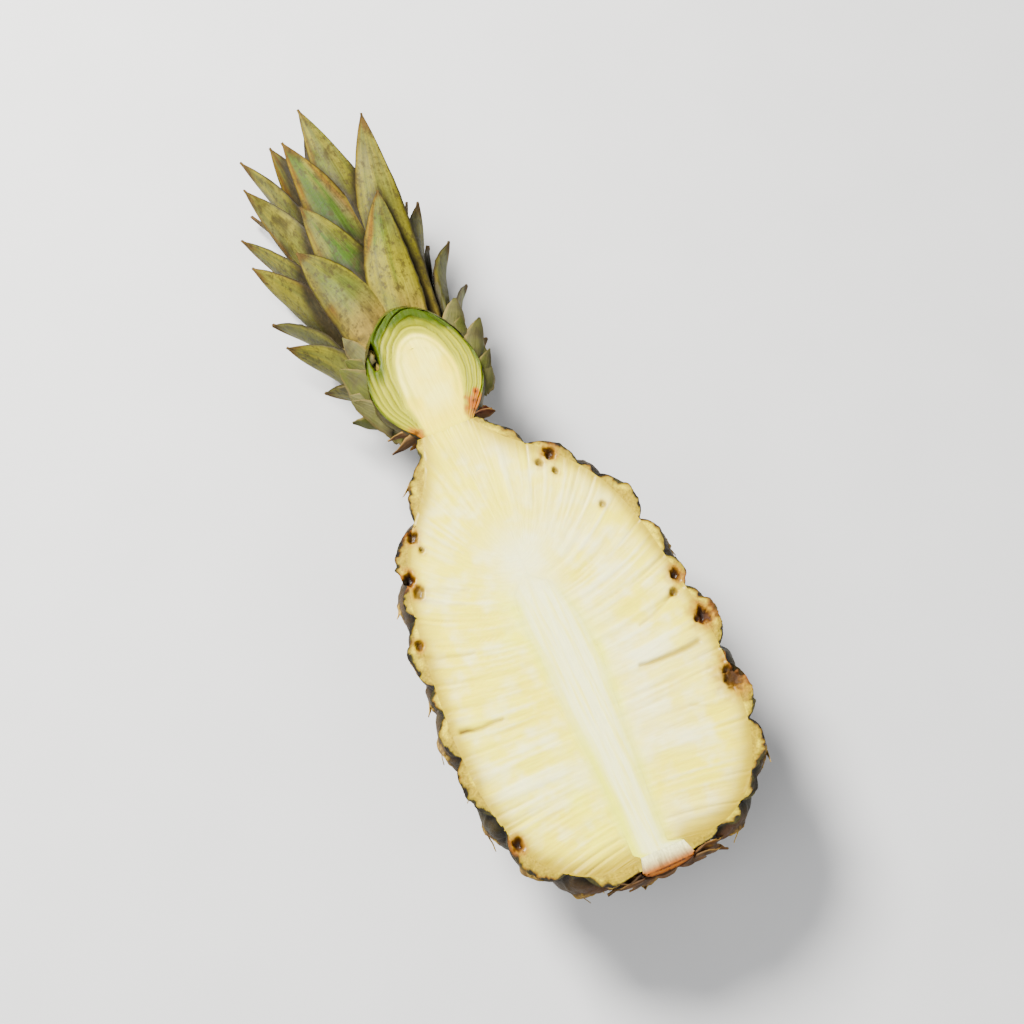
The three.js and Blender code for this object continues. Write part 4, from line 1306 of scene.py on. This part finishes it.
def section_look(x, y):
    """Height of the crown's cut face, and the values that its material reads."""
    up, across, beside = crown_place(x, y)
    past = across - bases_radius(up)[:, 0]
    cloud = fractal(131, 3, 0.09, x, y)
    low = smooth(up / HEART["middle"])
    wide = mix(HEART["neck"], HEART["wide"], low)
    aside = (beside - HEART["shift"] * low) / wide
    above = np.maximum(up - HEART["middle"], 0) / HEART["tall"]
    from_heart = np.hypot(aside, above)
    upward = (above / np.maximum(from_heart, 0.01)) ** 2
    inward = (from_heart - 1) * np.sqrt(mix(wide**2, HEART["tall"] ** 2, upward)) + 0.8 * cloud
    outward = np.maximum(np.minimum(-past, BASES_TOP - up), 0)
    share = np.clip(inward / np.maximum(np.maximum(inward, 0) + outward, 1), -1, 1.2)
    layer = share * mix(*LAYER_COUNT, smooth(0.5 + beside / 16)) - up * LAYER_CLIMB + 0.35 * cloud
    part = layer - np.floor(layer)
    line = bell(np.minimum(part, 1 - part), 0.085) * smooth((share - 0.08) * 5)
    green = 0.92 * smooth((up - 37 - 8 * cloud) / 11) * rise(share, 0.2, 0.5)
    green += 0.45 * rise(share, 0.62, 0.3) * rise(up, 10, 20)
    wraps = smooth(share * 7 + 0.25)
    wrap = paint(
        SECTION_PALE,
        (SECTION_YELLOW, smooth(share * 3.2 + 0.3 * cloud)),
        (SECTION_PALE, 0.5 * bell(part - 0.7, 0.16) * smooth(share * 4)),
        (SECTION_GREEN, green),
        (SECTION_LINE, 0.62 * line),
        (SECTION_DARK, 0.75 * line * rise(share, 0.66, 0.3) * rise(up, 16, 18)),
    )
    gx, gy = (v - middle for v, middle in zip((x, y), SECTION_GAP["place"]))
    tilt = SECTION_GAP["tilt"]
    gap_across = (gx * cos(tilt) + gy * sin(tilt)) / SECTION_GAP["size"][0]
    gap_along = (gy * cos(tilt) - gx * sin(tilt)) / SECTION_GAP["size"][1]
    gap = np.hypot(gap_across, gap_along) + 0.15 * cloud
    colour = paint(
        SECTION_CREAM,
        (SECTION_WHITE, smooth(0.5 + 1.3 * cloud - share * 0.5) * rise(up, 4, 10)),
        (SECTION_PALE, 0.6 * bell(share + 0.16, 0.06) * rise(up, 8, 10)),
        (wrap, wraps),
        (FLESH_CREAM, smooth((CROWN_START + 7 - y) / 9) * fall(share, 0.75, 0.4)),
        (SECTION_GREEN, 0.85 * smooth((past + 1.3) / 0.8) * smooth(up / 10)),
        (RIM_YELLOW, 0.9 * bell(past, 2.6) * fall(up, 10, 8)),
        (SECTION_GREEN, 0.9 * fall(gap, 2.6, 1.2)),
        (SECTION_DARK, fall(gap, 1.15, 0.3)),
    )
    jag = 0.35 * noise(132, x * 0.6, y * 0.6)
    for sx, sy, radius, strength in SECTION_STAINS:
        away = np.hypot(x - sx, y - sy) / radius + jag
        orange, brown = fall(away, 1.5, 0.8), fall(away, 0.55, 0.4)
        colour = paint(colour, (STAIN_ORANGE, strength * orange), (STAIN_BROWN, strength * brown))
    height = -SECTION_GAP["depth"] * fall(gap, 1.15, 0.4) - 0.3 * line * wraps
    height += 0.1 * cloud + 0.05 * noise(133, x * 1.5, y * 0.2) - 0.5 * line * rise(share, 0.6, 0.3)
    return height, {"tint": colour, "fibre": mix(x * 0.9, layer * 3.0, wraps), "reach": up * 0.08}


def turned_under(radius_at, top, rows, columns):
    """The part of a turned body of the crown that lies under the cut plane."""
    height = mix(0.4, top, np.sin(np.linspace(0, 1, rows) * pi / 2))
    radius = radius_at(height)[:, 0]
    radius[-1] = 0.4
    beta = np.arcsin(np.clip(height * tan(CROWN_LEAN) / np.maximum(radius, 0.01), -1, 1))
    share = np.linspace(0, 1, columns)
    angle = (pi - beta)[:, None] * (1 - share) + (2 * pi + beta)[:, None] * share
    points = crown_point(height[:, None], radius[:, None], angle).reshape(-1, 3)
    outward = radial(angle).reshape(-1, 3)
    return points, skin(rows, columns, points, outward), np.repeat(height, columns), angle.ravel(), outward


def rows_up_to(top, count):
    """Rows of the crown's cut, closer together towards its top."""
    low = CROWN_START - NECK_LAP
    return low + (top - low) * np.sin(np.linspace(0, 1, count) * pi / 2)


def make_leaf_bases(outer_y, outer, stem_y, stem):
    y = rows_up_to(outer_y[-1], SECTION_ROWS)
    closing = np.clip((y - stem_y[-1]) / (outer_y[-1] - stem_y[-1]), 0, 1)
    meet = mix((stem[0][-1] + stem[1][-1]) / 2, (outer[0][-1] + outer[1][-1]) / 2, closing)
    left, right = (np.interp(y, outer_y, edge) for edge in outer)
    inner_left, inner_right = (np.where(y < stem_y[-1], np.interp(y, stem_y, edge), meet) for edge in stem)
    sides = [(left, inner_left), (inner_right, right)]
    face = cut_face([flat_grid(*edges, y, SECTION_COLUMNS) for edges in sides], section_look)
    face[0][:, 2] -= NECK_STEP * (face[0][:, 1] < CROWN_START)
    dome, dome_faces, up, angle, outward = turned_under(bases_radius, BASES_TOP, rows=70, columns=110)
    ribs = noise(141, angle * 7, up * 0.05)
    dome = dome + outward * (0.45 * ribs + 0.3 * noise(142, *(dome.T * 0.5)))[:, None]
    dome[:, 2] = np.minimum(dome[:, 2], 0)
    tint = paint(
        LEAF_GREY,
        (LEAF_OLIVE, smooth(0.2 + (up - 20) / 26 + 0.5 * ribs)),
        (LEAF_MOTTLE, 0.8 * smooth(0.4 + 1.2 * noise(143, angle * 4, up * 0.12))),
        (SECTION_DARK, 0.5 * smooth(-0.35 - ribs)),
    )
    dome_values = {"tint": tint, "fibre": angle * 9, "reach": up * 0.08}
    part = joined([face, (dome, dome_faces, dome_values)])
    make_piece("leaf_base_layers", part, LEAF_BASE, ["leaf_bases"])


def make_crown_stem(stem_y, stem):
    y = rows_up_to(stem_y[-1], STEM_ROWS)
    left, right = (np.interp(y, stem_y, edge) for edge in stem)
    face = cut_face([flat_grid(left - STEM_LAP, right + STEM_LAP, y, STEM_COLUMNS)], section_look)
    edge = np.tile(np.arange(STEM_COLUMNS) % (STEM_COLUMNS - 1) == 0, len(y))
    face[0][:, 2] -= NECK_STEP * (edge | (face[0][:, 1] < CROWN_START))
    under, under_faces, up, angle, _ = turned_under(stem_radius, STEM_TOP, rows=24, columns=30)
    under_values = plain_values(SECTION_CREAM, angle * 9, up * 0.08)
    part = joined([face, (under, under_faces, under_values)])
    make_piece("crown_stem_cut", part, STEM, ["crown_stem"])


def make_section():
    outer_y, *outer = crown_edges(bases_radius, BASES_TOP)
    stem_y, *stem = crown_edges(stem_radius, STEM_TOP)
    make_leaf_bases(outer_y, outer, stem_y, stem)
    make_crown_stem(stem_y, stem)


# Dry bracts: at the base, at the neck, and the tips on the eyes.
LOBE_LEAF = srgb(158, 154, 90)
LOBE_PALE = srgb(188, 168, 120)
BRACT_TAN = srgb(172, 136, 100)
BRACT_ORANGE = srgb(172, 122, 78)
BRACT_PALE = srgb(204, 174, 136)
BRACT_DARK = srgb(52, 28, 16)
BRACT_RED = srgb(168, 84, 44)


class Bracts:
    """A piece made of dry bracts in four tones, each a thin pointed blade that may curl."""

    def __init__(self, tones, thickness=0.7, rows=14, taper=1.3):
        self.tones = tones
        self.thickness = thickness
        self.rows = rows
        self.taper = taper
        self.parts = []

    def add(self, start, along, outward, length, width, curl, seed, lowest=-1000.0, highest=1000.0):
        """A bract from start, which curls outward. Its points keep between two heights."""
        side = units(np.cross(along, outward))
        outward = units(np.cross(side, along))
        t = np.linspace(0, 1, self.rows)
        turn = (curl * t**1.3)[:, None]
        way = np.cos(turn) * along + np.sin(turn) * outward
        step = length / (self.rows - 1)
        centre = start + np.vstack([np.zeros(3), np.cumsum(way[:-1] * step, axis=0)])
        sides = np.repeat(side[None], self.rows, 0)
        normal = units(np.cross(sides, way))
        ragged = 1 + 0.16 * noise(151, t * 7, seed * 1.9) + 0.1 * noise(152, t * 16, seed)
        half = width / 2 * np.maximum(0.05, 1 - t**self.taper) * (0.75 + 0.25 * smooth(t * 5)) * ragged
        warp = 0.07 * width * noise(153, t * 3, seed * 2.3)
        centre = centre + normal * warp[:, None]
        thickness = np.full(self.rows, self.thickness)
        channel = np.full(self.rows, width * (0.7 + 0.25 * sin(seed)))
        columns = blade_columns(outer=7, inner=5)
        rings = blade(centre, sides, normal, half, thickness, channel, columns)
        t, across = np.meshgrid(t, columns[0], indexing="ij")
        crumple = 0.035 * width * noise(154, t * 8, across * 2.5, seed * 3.3) * across**2
        points, faces = loft(rings + normal[:, None] * crumple[..., None])
        points[:, 2] = np.clip(points[:, 2], lowest, highest)
        t, across = t.ravel(), across.ravel()
        cloud = fractal(161, 3, 0.2, *points.T)
        colour = paint(
            self.tones[0],
            (self.tones[1], smooth(0.5 + 1.2 * cloud + 0.5 * sin(seed * 1.7))),
            (self.tones[2], 0.8 * smooth((np.abs(across) - 0.72) * 4 + 0.5 * cloud)),
            (self.tones[3], 0.75 * smooth(0.1 - 1.6 * cloud) + 0.4 * smooth((0.2 - t) * 5)),
        )
        values = {"tint": colour, "across": across * width * 0.5, "along": t * length * 0.08}
        self.parts.append((points, faces, {**values, "seed": np.full(len(t), seed * 2.1)}))


def make_bracts(name, nodes, *groups):
    """One piece from groups of bracts, cut off at the cut plane."""
    part = joined([part for group in groups for part in group.parts])
    piece = make_piece(name, part, DRY, nodes)
    cut_piece(piece, (0, 0, 0), UP)
    return piece


def make_base_bracts():
    size = BASE_BRACT
    bracts = Bracts([BRACT_TAN, BRACT_ORANGE, BRACT_PALE, BRACT_DARK], size["thickness"])
    for ring, count in enumerate((8, 7)):
        for i in range(count):
            seed = i + 10 * ring
            angle = -(pi * (i + 0.5 + 0.3 * sin(seed * 4.1))) / count
            out = np.array([cos(angle), 0, sin(angle)])
            lift = -0.05 + 0.1 * sin(seed * 2.1) + 0.1 * ring
            along = out * cos(lift) + TO_BASE * sin(lift)
            middle = np.array([AXIS_OFFSET, size["back"] - 0.5 * ring, 0])
            start = middle + out * (size["start"] - 0.4 * ring)
            length = size["length"] * (0.7 + 0.2 * sin(seed * 1.3)) * (1 - 0.25 * ring)
            width = size["width"] * (0.9 + 0.2 * sin(seed * 2.9)) * (1 - 0.2 * ring)
            bracts.add(start, along, TO_BASE, length, width, 0.2 * sin(seed * 1.9) - 0.2, seed)
    make_bracts("base_bract_ring", ["base_bracts"], bracts)


def neck_way(angle, opening):
    """The direction at an angle round the crown that opens by some degrees from its axis."""
    opening = radians(opening)
    return CROWN_AXIS * cos(opening) + radial(angle) * sin(opening)


def flank_lobes():
    """Short leaf ends beside the crown's cut, where the knife ran close to the outer leaves."""
    lobes = Bracts([LOBE_LEAF, LEAF_OLIVE, LOBE_PALE, LEAF_MOTTLE], taper=2.6)
    for side, rows in FLANK_ROWS:
        for row, i in np.ndindex(rows, FLANK_COUNT):
            seed = i * 1.7 + 50 + 30 * side + 9 * row
            height = mix(*FLANK_HEIGHT, (i + 0.5 * (row % 2)) / FLANK_COUNT) + 1.5 * sin(i * 2.3)
            radius = bases_radius(height)[0, 0]
            slant = asin(min(height * tan(CROWN_LEAN) / radius, 1))
            below = 0.12 + 0.33 * row + 0.05 * sin(seed * 2.3) - slant
            angle = -below if side > 0 else below - pi
            along = neck_way(angle, 20 + 7 * sin(seed * 1.3) + 12 * (1 - i / FLANK_COUNT))
            start = crown_point(height, radius - 1.5, angle)
            outward = units(radial(angle) + UP * (1.2 if row == 0 else 0.2))
            length = 18 * (0.9 + 0.25 * sin(i * 1.9))
            width = 14 * (0.9 + 0.2 * sin(seed * 2.9))
            curl = 0.3 * sin(seed * 2.1) + 0.1
            lobes.add(start, along, outward, length, width, curl, seed, highest=-LOBE_DEPTH)
    return lobes


def make_neck_bracts():
    bracts = Bracts([BRACT_RED, BRACT_TAN, BRACT_PALE, BRACT_DARK], rows=12)
    low, high = NECK_COLLAR["low"], NECK_COLLAR["high"]
    reach = bases_radius(low)[0, 0]
    for ring, count in enumerate((9, 8)):
        for i in range(count):
            seed = i * 1.3 + 20 * (ring + 1)
            angle = -(pi * (i + 0.3 + 0.4 * ring)) / count
            along = neck_way(angle, 98 + 14 * sin(i * 2.2) - 34 * ring)
            start = crown_point(mix(low, high, 0.3 + 0.4 * ring), reach + 0.4 + 1.2 * ring, angle)
            length = (12.5 - 2 * ring) * (0.85 + 0.25 * sin(i * 1.9))
            width = 10 * (0.9 + 0.2 * sin(seed * 2.9))
            bracts.add(start, along, -CROWN_AXIS, length, width, 0.5 * sin(seed * 1.3) - 0.3, seed)
    piece = make_bracts("neck_bract_ring", ["neck_bracts"], bracts, flank_lobes())
    cut_piece(piece, (0, CROWN_START, 0), TO_BASE)


def make_eye_tips():
    """The dry point that lies over the middle of each eye."""
    tips = Bracts([EYE_BEIGE, EYE_CREAM, EYE_CREAM, BRACT_DARK], thickness=0.35, rows=9, taper=0.9)
    for k, (s, turn) in enumerate(zip(EYE_S, EYE_TURN)):
        angle = turn % (2 * pi)
        if not (0.06 <= angle <= pi - 0.06 and 14 <= s <= FRUIT_ARC - 12):
            continue
        here = s - STAR_SHIFT + 3.0
        place = place_on_fruit(np.array([here, here - 1.0]), np.full(2, angle), np.full(2, DOME_RISE + 1.1))
        _, _, nu, nr = profile_at(here)
        normal = np.array([cos(angle) * nr, nu, -sin(angle) * nr])
        towards_base = units(place[1] - place[0])
        turned = 0.5 * sin(k * 2.7)
        sideways = np.cross(normal, towards_base) * sin(turned)
        along = units(towards_base * cos(turned) + sideways + normal * 0.12)
        length = 7.5 + 1.8 * sin(k * 1.9)
        width = 4.6 + 0.9 * sin(k * 3.1)
        curl = 0.25 + 0.3 * sin(k * 1.3)
        tips.add(place[0], along, normal, length, width, curl, k, lowest=GROUND + UNDERSIDE_CLEAR)
    make_bracts("eye_tips", [], tips)


# The stalk's scar.
SCAR_OCHRE = srgb(204, 152, 90)
SCAR_PALE = srgb(220, 178, 114)
SCAR_DARK = srgb(130, 86, 46)


def scar_end(rings=26, columns=64):
    """The dished and chamfered dry end, as rings round its middle."""
    back, front, radius = SCAR["back"], SCAR["front"], SCAR["radius"]
    dish = np.linspace(0, radius - SCAR["chamfer"], rings)
    reach = np.concatenate([dish, [radius, radius * 0.93, SCAR["waist"]]])
    depth = back + SCAR["dish"] * (1 - smooth(dish / (radius - 1)))
    depth = np.concatenate([depth, [back + SCAR["chamfer"], (back + front) / 2, front]])
    r, a = np.meshgrid(reach, np.linspace(0, pi, columns), indexing="ij")
    ring = noise(171, r * 1.3, np.cos(a) * 0.8, np.sin(a) * 0.8)
    fibre = noise(172, r * np.cos(a) * 1.8, r * np.sin(a) * 1.8)
    in_dish = np.arange(len(reach))[:, None] < rings
    y = depth[:, None] + (0.35 * ring + 0.2 * fibre) * in_dish
    points = np.stack([AXIS_OFFSET + r * np.cos(a), y, -r * np.sin(a)], -1).reshape(-1, 3)
    r, a, ring, fibre = (v.ravel() for v in (r, a, ring, fibre))
    colour = paint(
        SCAR_OCHRE,
        (SCAR_PALE, smooth(0.3 + 1.2 * ring)),
        (SCAR_DARK, smooth(-0.3 - 1.5 * ring - 0.6 * fibre)),
        (SCAR_PALE, bell(r, 2.2)),
    )
    values = {"tint": colour, "across": r * 1.2, "along": a * 1.5, "seed": np.zeros(len(r))}
    return points, skin(len(reach), columns, points, TO_BASE), values


def scar_look(x, y):
    streak = noise(173, x * 1.3, y * 0.2)
    inner = rise(y, SCAR["back"], SCAR["front"] - SCAR["back"])
    dark = 0.5 * smooth(-0.2 - 1.4 * streak) * (1 - inner * 0.7)
    colour = paint(SCAR_OCHRE, (CORE_WHITE, inner * 0.9), (SCAR_DARK, dark))
    return 0.1 * streak, {"tint": colour, "across": x * 1.5, "along": y * 0.3, "seed": np.zeros(len(x))}


def scar_cut(rows=22, columns=50):
    """The stalk's end where the knife went through it."""
    y = np.linspace(SCAR["back"] + 0.2, SCAR["front"], rows)
    half = np.where(y < SCAR["back"] + SCAR["chamfer"], SCAR["radius"] - 0.8, scar_radius(y))
    return cut_face([flat_grid(AXIS_OFFSET - half, AXIS_OFFSET + half, y, columns)], scar_look)


make_rind()
make_flesh()
make_core()
make_section()
make_leaves()
make_base_bracts()
make_neck_bracts()
make_eye_tips()
make_piece("stalk_end", joined([scar_end(), scar_cut()]), STALK, ["stalk_scar"])


# Floor, lights and camera. Angles are in degrees from the front and up.
VIEW = {"azimuth": -23.86, "elevation": 68.0, "lens": 70.0, "sensor": 36.0, "distance": 765.8}
BASE_PIXEL = (650, 858)  # where the middle of the core's lower end stands in the photograph
PICTURE = 1024
# Each light is its name, azimuth, elevation, distance and size in metres, power and colour.
LIGHTS = [
    ("key", -155, 50, 1.3, 0.5, 79, (1.0, 0.98, 0.94)),
    ("fill", -70, 50, 1.5, 1.0, 14, (0.98, 0.99, 1.0)),
    ("front", 30, 40, 1.6, 1.0, 11.5, (1.0, 1.0, 1.0)),
]
LIT_PLACE = np.array([0, 0, 0.03])


def make_floor(size=3.0):
    n = Nodes("pale_floor")
    pale = n.ramp(n.grain(n.place(), 0.02, 2.0, 0.5), 0.3, 0.7, 0.52, 0.54)
    mesh = bpy.data.meshes.new("floor")
    corners = [(-size, -size, 0), (size, -size, 0), (size, size, 0), (-size, size, 0)]
    mesh.from_pydata(corners, [], [(0, 1, 2, 3)])
    mesh.materials.append(n.finish(Base_Color=n.vector(pale, pale, pale), Roughness=0.75))
    floor = bpy.data.objects.new("floor", mesh)
    floor.location.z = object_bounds()[0].z - 0.0001
    bpy.context.scene.collection.objects.link(floor)


def way_to(azimuth, elevation):
    a, e = radians(azimuth), radians(elevation)
    return np.array([sin(a) * cos(e), -cos(a) * cos(e), sin(e)])


def aimed(name, data, place, back):
    """A camera or light at a place, with its back turned that way."""
    thing = bpy.data.objects.new(name, data)
    thing.location = Vector(place)
    thing.rotation_mode = "QUATERNION"
    thing.rotation_quaternion = Vector(-back).to_track_quat("-Z", "Y")
    bpy.context.scene.collection.objects.link(thing)
    return thing


def make_camera():
    """The camera, placed so that the base of the core stands at its pixel of the photograph."""
    back = way_to(VIEW["azimuth"], VIEW["elevation"])
    right = way_to(VIEW["azimuth"] + 90, 0)
    up = np.cross(back, right)
    focal = PICTURE * VIEW["lens"] / VIEW["sensor"]
    ray = -back * focal + right * (BASE_PIXEL[0] - PICTURE / 2) + up * (PICTURE / 2 - BASE_PIXEL[1])
    eye = -ray * (back[2] * VIEW["distance"] / -ray[2])
    data = bpy.data.cameras.new("camera")
    data.lens = VIEW["lens"]
    data.sensor_width = VIEW["sensor"]
    data.clip_start = 0.02
    data.clip_end = 20
    bpy.context.scene.camera = aimed("camera", data, (eye + ORIGIN) * MM, back)


def make_lights():
    for name, azimuth, elevation, distance, size, power, colour in LIGHTS:
        data = bpy.data.lights.new(name, "AREA")
        data.shape = "DISK"
        data.size = size
        data.energy = power
        data.color = colour
        back = way_to(azimuth, elevation)
        aimed(name, data, LIT_PLACE + back * distance, back)
    world = bpy.data.worlds.new("studio")
    world.use_nodes = True
    background = world.node_tree.nodes["Background"]
    background.inputs["Color"].default_value = (0.95, 0.97, 1.0, 1)
    background.inputs["Strength"].default_value = 0.4
    bpy.context.scene.world = world


make_floor()
make_camera()
make_lights()
